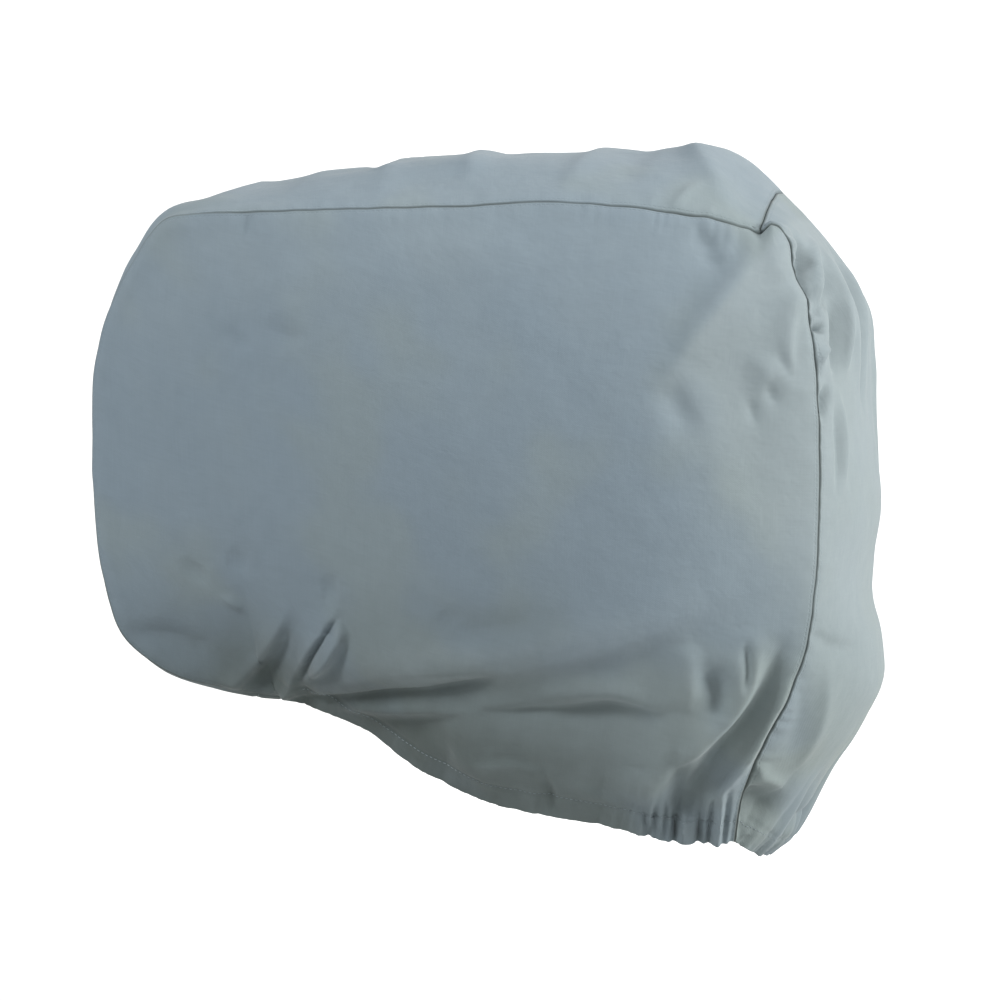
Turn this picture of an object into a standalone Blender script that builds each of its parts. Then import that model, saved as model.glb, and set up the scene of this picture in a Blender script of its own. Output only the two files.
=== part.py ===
"""Fitted cloth cover for the cowling of a large outboard motor, as it hangs on the motor.

Metres, +Z up, +X aft, -Y port. The origin is under the crown of the top, on the inner face of
the cloth, where the top of the cowling carries it. The cover is sewn from four cut panels: two
sides, one strip that runs from the front hem up the front and over the top, and one strip down
the aft end. Each panel is one sheet, shaped on its inner face and thickened outwards, so that
the seams between panels stay open as fine grooves. The hem is part of each panel, and its
elastic gathers it and draws it in under the cowling.
"""

import bmesh
import bpy
import numpy as np
from mathutils import Color

CLOTH = 0.002  # thickness of the cloth
HEM_CLOTH = 0.0035  # thickness where it is turned up for the elastic
HEM_BAND = 0.030  # depth of the turned-up hem
SEAM_GAP = 0.0003  # between the edges of a side and a strip
CROSS_SEAM_GAP = 0.0008  # between the two strips, whose cloth leans together in the notch

SIDE_BULGE = 0.050  # how far the middle of a side stands out past a sheet stretched between its seams
SIDE_ROUND = (3.0, 2.2)  # roundness of that bulge from end to end and from hem to top
BULGE_RISE = 1.25  # over 1 moves the fullest place up from mid height
CROWN_ROUND = 2.3  # roundness of a strip's cross-section, where 2 is a parabola
SEAM_FADE = 0.045  # folds die out over this distance from a seam

# Cells of the panels' grids, between the corners that the panels share.
CHIN_CELLS = 8
HEM_CELLS = 36
CORNER_CELLS = 2
ROW_CELLS = 26
ACROSS_CELLS = 12
ROW_SPACING = 1.12  # over 1 sets the rows closer together near the hem

# The strips from the front hem round to the aft hem. Each row is a cross-section: its seam to
# the side panel, half the strip's width there, and the point of the middle line across from it.
SECTION_COLUMNS = ("name", "seam_x", "seam_z", "half_width", "middle_x", "middle_z")
SECTIONS = (
    ("front hem", -0.182, -0.518, 0.092, -0.192, -0.523),
    ("under the chin", -0.240, -0.505, 0.101, -0.252, -0.513),
    ("chin", -0.290, -0.485, 0.111, -0.304, -0.495),
    ("chin turn", -0.321, -0.457, 0.118, -0.336, -0.464),
    ("front foot", -0.342, -0.405, 0.124, -0.355, -0.407),
    ("front low", -0.351, -0.340, 0.129, -0.363, -0.340),
    ("front middle", -0.353, -0.270, 0.132, -0.365, -0.269),
    ("front high", -0.350, -0.205, 0.137, -0.362, -0.201),
    ("brow", -0.333, -0.150, 0.143, -0.347, -0.142),
    ("brow turn", -0.308, -0.106, 0.151, -0.325, -0.090),
    ("front corner", -0.276, -0.069, 0.160, -0.288, -0.050),
    ("top start", -0.258, -0.066, 0.164, -0.262, -0.041),
    ("top front", -0.202, -0.064, 0.174, -0.203, -0.031),
    ("top rise", -0.110, -0.062, 0.184, -0.111, -0.015),
    ("crown", 0.000, -0.060, 0.190, 0.000, 0.000),
    ("top aft", 0.110, -0.057, 0.191, 0.112, -0.002),
    ("top end", 0.181, -0.064, 0.190, 0.190, 0.000),
    ("top slope", 0.222, -0.072, 0.188, 0.232, -0.004),
    ("notch", 0.277, -0.084, 0.181, 0.281, -0.043),
    ("corner", 0.296, -0.083, 0.179, 0.304, -0.068),
    ("shoulder", 0.311, -0.112, 0.182, 0.337, -0.108),
    ("aft high", 0.321, -0.150, 0.187, 0.361, -0.150),
    ("aft upper", 0.329, -0.200, 0.192, 0.367, -0.200),
    ("aft middle", 0.333, -0.270, 0.195, 0.368, -0.262),
    ("aft waist", 0.332, -0.345, 0.195, 0.374, -0.340),
    ("aft fold", 0.328, -0.410, 0.193, 0.367, -0.400),
    ("aft low", 0.320, -0.462, 0.187, 0.375, -0.478),
    ("aft turn", 0.303, -0.509, 0.177, 0.360, -0.536),
    ("aft under", 0.272, -0.570, 0.156, 0.326, -0.593),
    ("aft neck", 0.256, -0.610, 0.135, 0.299, -0.640),
    ("aft hem", 0.250, -0.648, 0.114, 0.270, -0.667),
)

# The side panel's own hem between the two strips.
HEM_COLUMNS = ("name", "x", "z", "half_width")
HEM_LINE = (
    ("front end", -0.182, -0.518, 0.092),
    ("front bend", -0.108, -0.547, 0.119),
    ("rise", -0.040, -0.590, 0.134),
    ("middle", 0.028, -0.620, 0.141),
    ("aft", 0.133, -0.637, 0.139),
    ("aft bend", 0.205, -0.648, 0.128),
    ("aft end", 0.250, -0.648, 0.114),
)

# Folds: a line from start to end that bows to its left, how wide it is to each side, how far it
# stands out, and its roll, which lifts its left side and sinks its right. The two coordinates
# are x and z on a side, x and y on the top, y and z on the front and the aft strip.
FOLD_COLUMNS = ("name", "start_a", "start_b", "end_a", "end_b", "bow", "width", "height", "roll")
PORT_FOLDS = (
    ("roll over the hem", -0.160, -0.509, 0.015, -0.474, 0.008, 0.020, 0.000, 0.012),
    ("long swell", -0.075, -0.482, 0.215, -0.405, -0.006, 0.034, 0.009, 0.000),
    ("low hollow", 0.020, -0.522, 0.205, -0.522, 0.008, 0.023, -0.008, 0.000),
    ("puff over the hem", 0.015, -0.572, 0.110, -0.575, 0.000, 0.022, 0.004, 0.000),
    ("aft trough", 0.302, -0.462, 0.208, -0.635, -0.026, 0.017, -0.012, 0.000),
    ("ridge beside it", 0.274, -0.448, 0.165, -0.600, -0.026, 0.019, 0.012, 0.000),
    ("short hollow", 0.234, -0.475, 0.240, -0.528, 0.000, 0.013, -0.005, 0.000),
    ("chin ridge", -0.158, -0.430, -0.212, -0.490, -0.008, 0.016, 0.009, 0.000),
    ("chin tuck", -0.112, -0.428, -0.160, -0.512, -0.006, 0.014, -0.011, 0.000),
    ("chin puff", -0.104, -0.436, -0.128, -0.490, -0.010, 0.014, 0.009, 0.000),
    ("chin crease", -0.310, -0.442, -0.222, -0.458, 0.008, 0.018, -0.006, 0.000),
    ("shoulder fold", 0.285, -0.105, 0.205, -0.225, 0.010, 0.026, 0.007, 0.000),
    ("aft sway", 0.235, -0.110, 0.300, -0.330, 0.012, 0.028, -0.006, 0.000),
    ("brow crease", -0.235, -0.185, -0.120, -0.182, 0.012, 0.022, -0.003, 0.000),
    ("broad sag", -0.260, -0.330, 0.120, -0.300, -0.020, 0.070, 0.004, 0.000),
    ("gather 1", -0.150, -0.530, -0.143, -0.500, 0.000, 0.013, -0.004, 0.000),
    ("gather 2", -0.098, -0.552, -0.088, -0.515, 0.000, 0.014, -0.004, 0.000),
    ("gather 3", -0.040, -0.590, -0.032, -0.556, 0.000, 0.013, -0.005, 0.000),
    ("gather 4", 0.012, -0.614, 0.016, -0.590, 0.000, 0.013, -0.004, 0.000),
    ("gather 5", 0.094, -0.632, 0.083, -0.578, 0.000, 0.012, -0.006, 0.000),
    ("gather 6", 0.138, -0.637, 0.134, -0.600, 0.000, 0.011, -0.005, 0.000),
    ("gather 7", 0.173, -0.643, 0.176, -0.600, 0.000, 0.010, -0.007, 0.000),
    ("gather 8", 0.226, -0.648, 0.236, -0.585, 0.004, 0.010, -0.006, 0.000),
)
STARBOARD_FOLDS = (
    ("roll over the hem", 0.030, -0.480, -0.150, -0.505, -0.012, 0.024, 0.000, -0.008),
    ("long swell", -0.110, -0.470, 0.170, -0.430, -0.010, 0.036, 0.006, 0.000),
    ("low hollow", 0.060, -0.530, 0.215, -0.505, 0.006, 0.022, -0.005, 0.000),
    ("aft trough", 0.300, -0.440, 0.190, -0.625, -0.026, 0.018, -0.009, 0.000),
    ("ridge beside it", 0.268, -0.430, 0.150, -0.590, -0.024, 0.020, 0.008, 0.000),
    ("chin ridge", -0.170, -0.420, -0.225, -0.485, -0.010, 0.017, 0.006, 0.000),
    ("chin tuck", -0.125, -0.430, -0.165, -0.505, -0.008, 0.015, -0.006, 0.000),
    ("shoulder fold", 0.285, -0.110, 0.190, -0.250, 0.014, 0.028, 0.005, 0.000),
    ("aft sway", 0.225, -0.120, 0.305, -0.350, 0.010, 0.028, -0.004, 0.000),
    ("broad sag", -0.240, -0.300, 0.140, -0.330, -0.016, 0.070, 0.004, 0.000),
    ("gather 1", -0.128, -0.540, -0.116, -0.505, 0.000, 0.014, -0.004, 0.000),
    ("gather 2", -0.062, -0.575, -0.052, -0.540, 0.000, 0.013, -0.005, 0.000),
    ("gather 3", 0.000, -0.610, 0.006, -0.580, 0.000, 0.013, -0.004, 0.000),
    ("gather 4", 0.062, -0.628, 0.060, -0.585, 0.000, 0.012, -0.006, 0.000),
    ("gather 5", 0.118, -0.636, 0.110, -0.600, 0.000, 0.011, -0.005, 0.000),
    ("gather 6", 0.160, -0.642, 0.166, -0.590, 0.000, 0.011, -0.006, 0.000),
    ("gather 7", 0.212, -0.648, 0.222, -0.590, 0.003, 0.010, -0.006, 0.000),
)
TOP_FOLDS = (
    ("front ripple", -0.255, -0.120, -0.262, 0.110, 0.006, 0.014, -0.003, 0.000),
    ("second ripple", -0.228, -0.130, -0.216, 0.125, -0.008, 0.016, 0.003, 0.000),
    ("port slack", -0.150, -0.125, 0.060, -0.120, 0.012, 0.026, 0.004, 0.000),
    ("starboard slack", -0.080, 0.128, 0.130, 0.118, 0.014, 0.026, 0.004, 0.000),
    ("step", -0.040, -0.090, -0.034, 0.100, 0.010, 0.020, -0.002, 0.000),
    ("aft ripple", 0.205, -0.140, 0.214, 0.130, -0.008, 0.018, 0.003, 0.000),
)
FRONT_FOLDS = (
    ("port slack", -0.070, -0.180, -0.060, -0.330, 0.010, 0.026, 0.004, 0.000),
    ("starboard slack", 0.070, -0.210, 0.055, -0.370, -0.010, 0.026, 0.004, 0.000),
    ("middle gather", 0.004, -0.540, 0.000, -0.430, 0.000, 0.012, -0.006, 0.000),
    ("port gather", -0.045, -0.540, -0.040, -0.450, 0.000, 0.011, -0.005, 0.000),
    ("starboard gather", 0.050, -0.540, 0.040, -0.445, 0.000, 0.011, -0.005, 0.000),
)
AFT_FOLDS = (
    ("corner fold", -0.110, -0.100, -0.085, -0.245, -0.012, 0.017, 0.005, 0.000),
    ("seam pucker", -0.140, -0.150, -0.135, -0.195, 0.000, 0.013, -0.004, 0.000),
    ("narrow fold", -0.128, -0.235, -0.130, -0.320, 0.004, 0.012, 0.004, 0.000),
    ("starboard fold", 0.105, -0.110, 0.080, -0.300, 0.014, 0.018, 0.005, 0.000),
    ("cross hollow", -0.150, -0.392, 0.150, -0.400, 0.006, 0.020, -0.004, 0.000),
    ("lower swell", -0.120, -0.470, 0.130, -0.480, -0.010, 0.030, 0.004, 0.000),
    ("middle gather", 0.005, -0.680, -0.004, -0.570, 0.000, 0.013, -0.007, 0.000),
    ("port gather", -0.050, -0.680, -0.062, -0.580, 0.000, 0.012, -0.006, 0.000),
    ("starboard gather", 0.056, -0.680, 0.064, -0.575, 0.000, 0.012, -0.006, 0.000),
)

# Colour in sRGB and roughness of each panel's cloth.
CLOTH_LOOKS = {
    "side_panel_port": ((0.50, 0.55, 0.58), 0.85),
    "side_panel_starboard": ((0.50, 0.55, 0.58), 0.85),
    "front_and_top_strip": ((0.52, 0.57, 0.60), 0.85),
    "aft_strip": ((0.53, 0.58, 0.60), 0.85),
}


def column(table, columns, name):
    """One named column of a table as an array."""
    return np.array([row[columns.index(name)] for row in table])


def spline(knots, values, at):
    """A smooth curve through the values, with each knot's slope taken from its neighbours."""
    slopes = np.gradient(values, knots, axis=0)
    left = np.clip(np.searchsorted(knots, at, side="right") - 1, 0, len(knots) - 2)
    span = (knots[left + 1] - knots[left])[:, None]
    t = (at - knots[left])[:, None] / span
    ease = t * t * (3 - 2 * t)
    bend = span * t * (1 - t) * ((1 - t) * slopes[left] - t * slopes[left + 1])
    return values[left] * (1 - ease) + values[left + 1] * ease + bend


def path_lengths(points):
    """The distance along a line of points from its first one."""
    steps = np.linalg.norm(np.diff(points, axis=0), axis=1)
    return np.concatenate(([0.0], np.cumsum(steps)))


def section_table():
    """Each section's distance along the seam, and its seam point and middle point."""
    read = {name: column(SECTIONS, SECTION_COLUMNS, name) for name in SECTION_COLUMNS}
    seam = np.stack((read["seam_x"], read["half_width"], read["seam_z"]), axis=1)
    middle = np.stack((read["middle_x"], 0 * read["middle_x"], read["middle_z"]), axis=1)
    distance = path_lengths(seam[:, [0, 2]])
    marks = dict(zip(read["name"], distance))
    return distance, seam, middle, marks


def row_steps():
    """Rows from hem to top as fractions of the height."""
    return np.linspace(0, 1, ROW_CELLS + 1) ** ROW_SPACING


def seam_stations(marks):
    """Distances along the seam at which the panels on both sides of it have their points."""
    notch, corner = marks["notch"], marks["corner"]
    chin = np.linspace(marks["front hem"], marks["chin turn"], CHIN_CELLS + 1)
    front = marks["chin turn"] + (marks["front corner"] - marks["chin turn"]) * row_steps()
    to_notch = np.linspace(marks["front corner"], notch, CHIN_CELLS + HEM_CELLS - CORNER_CELLS + 1)
    to_corner = np.linspace(notch, corner, CORNER_CELLS + 1)
    aft = marks["aft hem"] + (corner - marks["aft hem"]) * row_steps()
    return {"chin": chin, "front": front, "to_notch": to_notch, "to_corner": to_corner, "aft": aft}


def smoothstep(value):
    """Ease from 0 to 1 over values from 0 to 1."""
    value = np.clip(value, 0, 1)
    return value * value * (3 - 2 * value)


def fold_offsets(a, b, folds):
    """How far the folds lift the cloth at points with the coordinates a and b."""
    lift = np.zeros_like(a)
    for _, start_a, start_b, end_a, end_b, bow, width, height, roll in folds:
        start = np.array((start_a, start_b))
        run = np.array((end_a, end_b)) - start
        length = np.hypot(*run)
        ahead = run / length
        along = ((a - start[0]) * ahead[0] + (b - start[1]) * ahead[1]) / length
        inside = np.clip(along, 0, 1)
        across = (b - start[1]) * ahead[0] - (a - start[0]) * ahead[1] - 4 * bow * inside * (1 - inside)
        past = (along - inside) * length
        fall = np.exp(-(across**2 + past**2) / width**2)
        lift += fall * (height + 1.6 * roll * across / width)
    return lift


def distance_to(points, edge):
    """The distance from each grid point to the nearest of the edge's points."""
    return np.linalg.norm(points[:, :, None, :] - edge[None, None, :, :], axis=3).min(axis=2)


def outward(points):
    """The unit normal at each grid point, on the side that faces out of the cover."""
    normal = np.cross(np.gradient(points, axis=0), np.gradient(points, axis=1))
    return normal / np.linalg.norm(normal, axis=2, keepdims=True)


def raise_folds(points, seam_edge, lift):
    """The panel's points moved along their normals, with less and less near its seams."""
    fade = smoothstep(distance_to(points, seam_edge) / SEAM_FADE)
    return points + outward(points) * (lift * fade)[:, :, None]


def side_panel(side, folds):
    """A side's points from front to aft and from hem to top, and the line of its hem."""
    distance, seam, _, marks = section_table()
    stations = seam_stations(marks)
    hem_knots = np.stack([column(HEM_LINE, HEM_COLUMNS, key) for key in ("x", "half_width", "z")], axis=1)
    hem_distance = path_lengths(hem_knots)
    hem = spline(hem_distance, hem_knots, np.linspace(0, hem_distance[-1], HEM_CELLS + 1))
    chin = spline(distance, seam, stations["chin"][::-1])
    bottom = np.concatenate((chin[:-1], hem))
    top = spline(distance, seam, np.concatenate((stations["to_notch"][:-1], stations["to_corner"])))
    front = spline(distance, seam, stations["front"])
    aft = spline(distance, seam, stations["aft"])

    u = np.linspace(0, 1, len(bottom))[:, None, None]
    v = row_steps()[None, :, None]
    between_rows = (1 - v) * bottom[:, None] + v * top[:, None]
    between_ends = (1 - u) * front[None] + u * aft[None]
    corners = (1 - v) * ((1 - u) * bottom[0] + u * bottom[-1]) + v * ((1 - u) * top[0] + u * top[-1])
    points = between_rows + between_ends - corners

    end_round, height_round = SIDE_ROUND
    bulge = (1 - abs(2 * u - 1) ** end_round) * (1 - abs(2 * v**BULGE_RISE - 1) ** height_round)
    points[:, :, 1] += SIDE_BULGE * bulge[:, :, 0] + SEAM_GAP / 2
    points[:, :, 1] *= side
    if side > 0:
        points = points[::-1]

    seam_edge = np.concatenate((chin, front, top, aft)) * (1, side, 1)
    points = raise_folds(points, seam_edge, fold_offsets(points[:, :, 0], points[:, :, 2], folds))
    return points, hem * (1, side, 1)


def strip(along):
    """A strip's points at distances along the seam, and from port to starboard."""
    distance, seam, middle, _ = section_table()
    edge = spline(distance, seam, along)[:, None]
    centre = spline(distance, middle, along)[:, None]
    across = np.linspace(-1, 1, ACROSS_CELLS + 1)[None, :, None]
    crown = 1 - abs(across) ** CROWN_ROUND
    points = edge + (centre - edge) * crown
    points[:, :, 1] = (across * (edge[:, :, 1:2] - SEAM_GAP / 2))[:, :, 0]
    return points


def front_and_top_strip():
    """The strip's points from the front hem to the cross seam, and the line of its hem."""
    marks = section_table()[3]
    stations = seam_stations(marks)
    along = np.concatenate((stations["chin"][:-1], stations["front"][:-1], stations["to_notch"]))
    along[-1] -= CROSS_SEAM_GAP / 2
    points = strip(along)
    x, y, z = np.moveaxis(points, 2, 0)
    on_top = smoothstep((z + 0.16) / 0.08)
    lift = on_top * fold_offsets(x, y, TOP_FOLDS) + (1 - on_top) * fold_offsets(y, z, FRONT_FOLDS)
    seam_edge = np.concatenate((points[:, 0], points[:, -1], points[-1]))
    return raise_folds(points, seam_edge, lift), points[0]


def aft_strip():
    """The strip's points from the cross seam to the aft hem, and the line of its hem."""
    marks = section_table()[3]
    stations = seam_stations(marks)
    along = np.concatenate((stations["to_corner"][:-1], stations["aft"][::-1]))
    along[0] += CROSS_SEAM_GAP / 2
    points = strip(along)
    lift = fold_offsets(points[:, :, 1], points[:, :, 2], AFT_FOLDS)
    seam_edge = np.concatenate((points[:, 0], points[:, -1], points[0]))
    return raise_folds(points, seam_edge, lift), points[-1]


def cloth_material(name):
    """A plain woven cloth in the panel's colour."""
    srgb, roughness = CLOTH_LOOKS[name]
    material = bpy.data.materials.new(f"{name}_cloth")
    material.use_nodes = True
    shader = material.node_tree.nodes["Principled BSDF"]
    shader.inputs["Base Color"].default_value = (*Color(srgb).from_srgb_to_scene_linear(), 1)
    shader.inputs["Roughness"].default_value = roughness
    shader.inputs["Metallic"].default_value = 0.0
    return material


def add_panel(collection, name, points, hem):
    """A grid laid on the points and thickened outwards, thicker along its hem."""
    rows, cells = points.shape[0] - 1, points.shape[1] - 1
    grid = bmesh.new()
    bmesh.ops.create_grid(grid, x_segments=rows, y_segments=cells, size=1)
    places = points.transpose(1, 0, 2).reshape(-1, 3)
    for vertex, place in zip(grid.verts, places):
        vertex.co = place
    mesh = bpy.data.meshes.new(name)
    grid.to_mesh(mesh)
    grid.free()
    mesh.shade_smooth()
    mesh.materials.append(cloth_material(name))
    panel = bpy.data.objects.new(name, mesh)
    collection.objects.link(panel)

    in_hem = (distance_to(points, hem) < HEM_BAND).transpose().reshape(-1)
    turned_up = panel.vertex_groups.new(name="hem")
    turned_up.add(np.flatnonzero(in_hem).tolist(), 1.0, "REPLACE")
    thicken = panel.modifiers.new("cloth thickness", "SOLIDIFY")
    thicken.thickness = HEM_CLOTH
    thicken.offset = 1
    thicken.vertex_group = turned_up.name
    thicken.thickness_vertex_group = CLOTH / HEM_CLOTH
    return panel


def main():
    for leftover in list(bpy.data.objects):
        bpy.data.objects.remove(leftover)
    cover = bpy.data.collections.new("outboard_motor_cover")
    bpy.context.scene.collection.children.link(cover)
    add_panel(cover, "side_panel_port", *side_panel(-1, PORT_FOLDS))
    add_panel(cover, "side_panel_starboard", *side_panel(1, STARBOARD_FOLDS))
    add_panel(cover, "front_and_top_strip", *front_and_top_strip())
    add_panel(cover, "aft_strip", *aft_strip())


main()
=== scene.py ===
# Looks of the fitted outboard motor cover: four cloth panels sewn edge to edge above a gathered hem.
import math
import bpy
import numpy as np
from mathutils import Color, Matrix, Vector, noise


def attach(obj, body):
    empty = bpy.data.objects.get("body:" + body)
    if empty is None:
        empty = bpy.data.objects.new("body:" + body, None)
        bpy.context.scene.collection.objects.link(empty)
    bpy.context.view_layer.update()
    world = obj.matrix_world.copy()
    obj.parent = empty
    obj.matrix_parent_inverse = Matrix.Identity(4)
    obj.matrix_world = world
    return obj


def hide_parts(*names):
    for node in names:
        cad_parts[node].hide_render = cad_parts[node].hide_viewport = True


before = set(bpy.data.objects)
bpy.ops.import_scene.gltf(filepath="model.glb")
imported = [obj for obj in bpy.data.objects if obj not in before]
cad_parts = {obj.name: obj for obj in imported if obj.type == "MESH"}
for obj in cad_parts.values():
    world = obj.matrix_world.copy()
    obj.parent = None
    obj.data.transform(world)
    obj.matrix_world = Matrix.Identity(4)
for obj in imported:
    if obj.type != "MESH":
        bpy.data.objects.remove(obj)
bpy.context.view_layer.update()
print("frame loaded:", sorted(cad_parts))

# The form that all four panels share, in metres, as the solids have it.
coverForm = {
    "solidCloth": 0.002,
    "sideBulge": 0.050,
    "sideRound": (3.0, 2.2),
    "bulgeRise": 1.25,
    "crownRound": 2.3,
    "edgeEase": (0.4, 0.3),  # shares of the height over which the corners of the edges ease out
    "easeSteps": 300,  # along an edge
    "easeWidths": (60, 2.5),  # reach of the easing in such steps, and in its own widths
    "chinShare": 8 / 44,  # of the bottom edge, the part that is sewn to the strip
    "notchShare": 42 / 44,
    # A section is: seam x and z, half the strip's width there, middle line x and z.
    "sections": {
        "front hem": (-0.182, -0.518, 0.092, -0.192, -0.523),
        "under the chin": (-0.240, -0.505, 0.101, -0.252, -0.513),
        "chin": (-0.290, -0.485, 0.111, -0.304, -0.495),
        "chin turn": (-0.321, -0.457, 0.118, -0.336, -0.464),
        "front foot": (-0.342, -0.405, 0.124, -0.355, -0.407),
        "front low": (-0.351, -0.340, 0.129, -0.363, -0.340),
        "front middle": (-0.353, -0.270, 0.132, -0.365, -0.269),
        "front high": (-0.350, -0.205, 0.137, -0.362, -0.201),
        "brow": (-0.333, -0.150, 0.143, -0.347, -0.142),
        "brow turn": (-0.308, -0.106, 0.151, -0.325, -0.090),
        "front corner": (-0.276, -0.069, 0.160, -0.288, -0.050),
        "top start": (-0.258, -0.066, 0.164, -0.262, -0.041),
        "top front": (-0.202, -0.064, 0.174, -0.203, -0.031),
        "top rise": (-0.110, -0.062, 0.184, -0.111, -0.015),
        "crown": (0.000, -0.060, 0.190, 0.000, 0.000),
        "top aft": (0.110, -0.057, 0.191, 0.112, -0.002),
        "top end": (0.181, -0.064, 0.190, 0.190, 0.000),
        "top slope": (0.222, -0.072, 0.188, 0.232, -0.004),
        "notch": (0.277, -0.084, 0.181, 0.281, -0.043),
        "corner": (0.296, -0.083, 0.179, 0.304, -0.068),
        "shoulder": (0.311, -0.112, 0.182, 0.337, -0.108),
        "aft high": (0.321, -0.150, 0.187, 0.361, -0.150),
        "aft upper": (0.329, -0.200, 0.192, 0.367, -0.200),
        "aft middle": (0.333, -0.270, 0.195, 0.368, -0.262),
        "aft waist": (0.332, -0.345, 0.195, 0.374, -0.340),
        "aft fold": (0.328, -0.410, 0.193, 0.367, -0.400),
        "aft low": (0.320, -0.462, 0.187, 0.375, -0.478),
        "aft turn": (0.303, -0.509, 0.177, 0.360, -0.536),
        "aft under": (0.272, -0.570, 0.156, 0.326, -0.593),
        "aft neck": (0.256, -0.610, 0.135, 0.299, -0.640),
        "aft hem": (0.250, -0.648, 0.114, 0.270, -0.667),
    },
    # The side panel's own hem: x, z and half width.
    "hemLine": {
        "front end": (-0.182, -0.518, 0.092),
        "front bend": (-0.108, -0.547, 0.119),
        "rise": (-0.040, -0.590, 0.134),
        "middle": (0.028, -0.620, 0.141),
        "aft": (0.133, -0.637, 0.139),
        "aft bend": (0.205, -0.648, 0.128),
        "aft end": (0.250, -0.648, 0.114),
    },
}

# How the cloth is cut, sewn and gathered, in metres. A place is a middle distance and a width.
sewing = {
    "cloth": 0.0009,
    "seamHalfGap": 0.00012,
    "seamSamples": 900,
    "smoothBelow": 75,  # degrees
    "seamRoll": 0.0034,  # radius of each edge as it turns down into the seam
    "rollShares": (0.5, 0.5, 1.2),  # of that radius: always, by pucker strength, and up to which strength
    "rollKeep": 2.5,  # in such radii, where the cloth's own way out is back
    "seamFade": 0.008,  # folds die out over this distance from a seam
    "seamPull": (0.0016, 0.007),  # how deep the thread pulls a gathered edge, and how far
    "allowance": (0.001, 0.002, 0.003, 0.0045, 0.006, 0.008, 0.010),
    "hemTurn": (0.0, 0.0, 0.0, 0.0, 0.007, 0.014, 0.022),
    "hemDepth": (0.0006, 0.0016, 0.0026, 0.0030, 0.0030, 0.0030, 0.0022),
    "hemDrop": (0.0007, 0.0010, 0.0007, 0.0, 0.0, 0.0, 0.0),
    "hemBand": 0.024,
    "puckerPitch": 0.015,
    "puckerUneven": 1.2,
    "puckerSeed": 2.0,
    "puckerHeight": 0.0016,
    "puckerPeak": 0.0065,
    "puckerFall": (1.5, 1.2),
    "puckerEnd": (0.05, 0.02),
    "crossPucker": 0.15,
    "crossStart": 3.0,  # lengths along the cross seam count on from here
    # How the seam wanders: size, its part where the thread is slack, share sideways, reach, and the
    # pitches of its two waves with the share of the longer one.
    "wanderSize": 0.0011,
    "wanderSlack": 0.35,
    "wanderAside": 1.3,
    "wanderReach": 0.014,
    "wavesOut": (0.022, 0.06, 0.8),
    "wavesAside": (0.030, 0.09, 0.9),
    "wanderSeeds": {"port": 3.0, "starboard": 7.0, "cross": 11.0},
    # How far the cloth stands out along the seam past the solids, and how far the side panel rolls
    # over towards the strip there, by section.
    "fullness": {
        "front hem": (0.0, 0.005), "under the chin": (0.003, 0.005), "chin": (0.008, 0.005),
        "chin turn": (0.011, 0.005), "front foot": (0.004, 0.005), "front low": (0.0015, 0.005),
        "front high": (0.0, 0.005), "brow turn": (0.0005, 0.005), "front corner": (0.001, 0.003),
        "top front": (0.0, 0.0), "aft hem": (0.0, 0.0),
    },
    "fullReach": 0.040,
    "fullAside": 0.7,
    # What the roll does beside the seam: its share, then the place on the side panel, on the strip,
    # and at the strip's corner above the hem.
    "sideLift": (0.55, 0.009, 0.010),
    "stripSink": (1.10, 0.013, 0.013),
    "cornerTuck": (1.2, 0.022, 0.030),
    # Where the seam is drawn up past the notch, by distance from it: along x and z.
    "hook": (
        (-0.085, 0.0, 0.0), (-0.055, 0.0, 0.003), (-0.030, 0.0, 0.005), (-0.010, 0.0, 0.0035),
        (0.0, 0.0, -0.0015), (0.010, -0.001, 0.0075), (0.021, -0.002, 0.0055), (0.036, -0.001, 0.001),
        (0.052, -0.0045, 0.0), (0.068, -0.004, 0.0), (0.085, 0.0, 0.0),
    ),
    "drawnUpReach": (0.07, 0.05),  # from the hem, and from the seams
    # How strongly the seam thread gathers the cloth, by section.
    "pucker": {
        "front hem": 0.9, "chin": 0.6, "chin turn": 0.5, "front foot": 0.25, "front high": 0.2,
        "brow turn": 0.3, "front corner": 0.5, "top front": 0.35, "top rise": 0.3, "crown": 0.25,
        "top aft": 0.45, "top end": 0.8, "top slope": 1.1, "notch": 1.3, "corner": 1.2, "shoulder": 1.4,
        "aft high": 1.3, "aft upper": 1.0, "aft middle": 0.5, "aft waist": 0.3, "aft fold": 0.4,
        "aft low": 0.5, "aft turn": 0.6, "aft under": 0.8, "aft hem": 1.2,
    },
}


def smoothStep(value):
    value = np.clip(value, 0, 1)
    return value * value * (3 - 2 * value)


def hump(distance, middle, width):
    return np.exp(-(((distance - middle) / width) ** 2))


def spline(knots, values, at):
    slopes = np.gradient(values, knots, axis=0)
    left = np.clip(np.searchsorted(knots, at, side="right") - 1, 0, len(knots) - 2)
    span = (knots[left + 1] - knots[left])[:, None]
    t = (at - knots[left])[:, None] / span
    ease = t * t * (3 - 2 * t)
    bend = span * t * (1 - t) * ((1 - t) * slopes[left] - t * slopes[left + 1])
    return values[left] * (1 - ease) + values[left + 1] * ease + bend


def tableAt(at, pairs):
    return np.interp(at, *zip(*pairs))


def follow(at, knots, values):
    return np.stack([np.interp(at, knots, values[:, axis]) for axis in range(3)], axis=-1)


def pathLengths(points):
    steps = np.linalg.norm(np.diff(points, axis=0), axis=1)
    return np.concatenate(([0.0], np.cumsum(steps)))


def unit(vectors):
    return vectors / np.maximum(np.linalg.norm(vectors, axis=-1, keepdims=True), 1e-12)


def outward(points):
    return unit(np.cross(np.gradient(points, axis=0), np.gradient(points, axis=1)))


def borders(grid):
    return {"start": grid[0], "end": grid[-1], "low": grid[:, 0], "high": grid[:, -1]}


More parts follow.
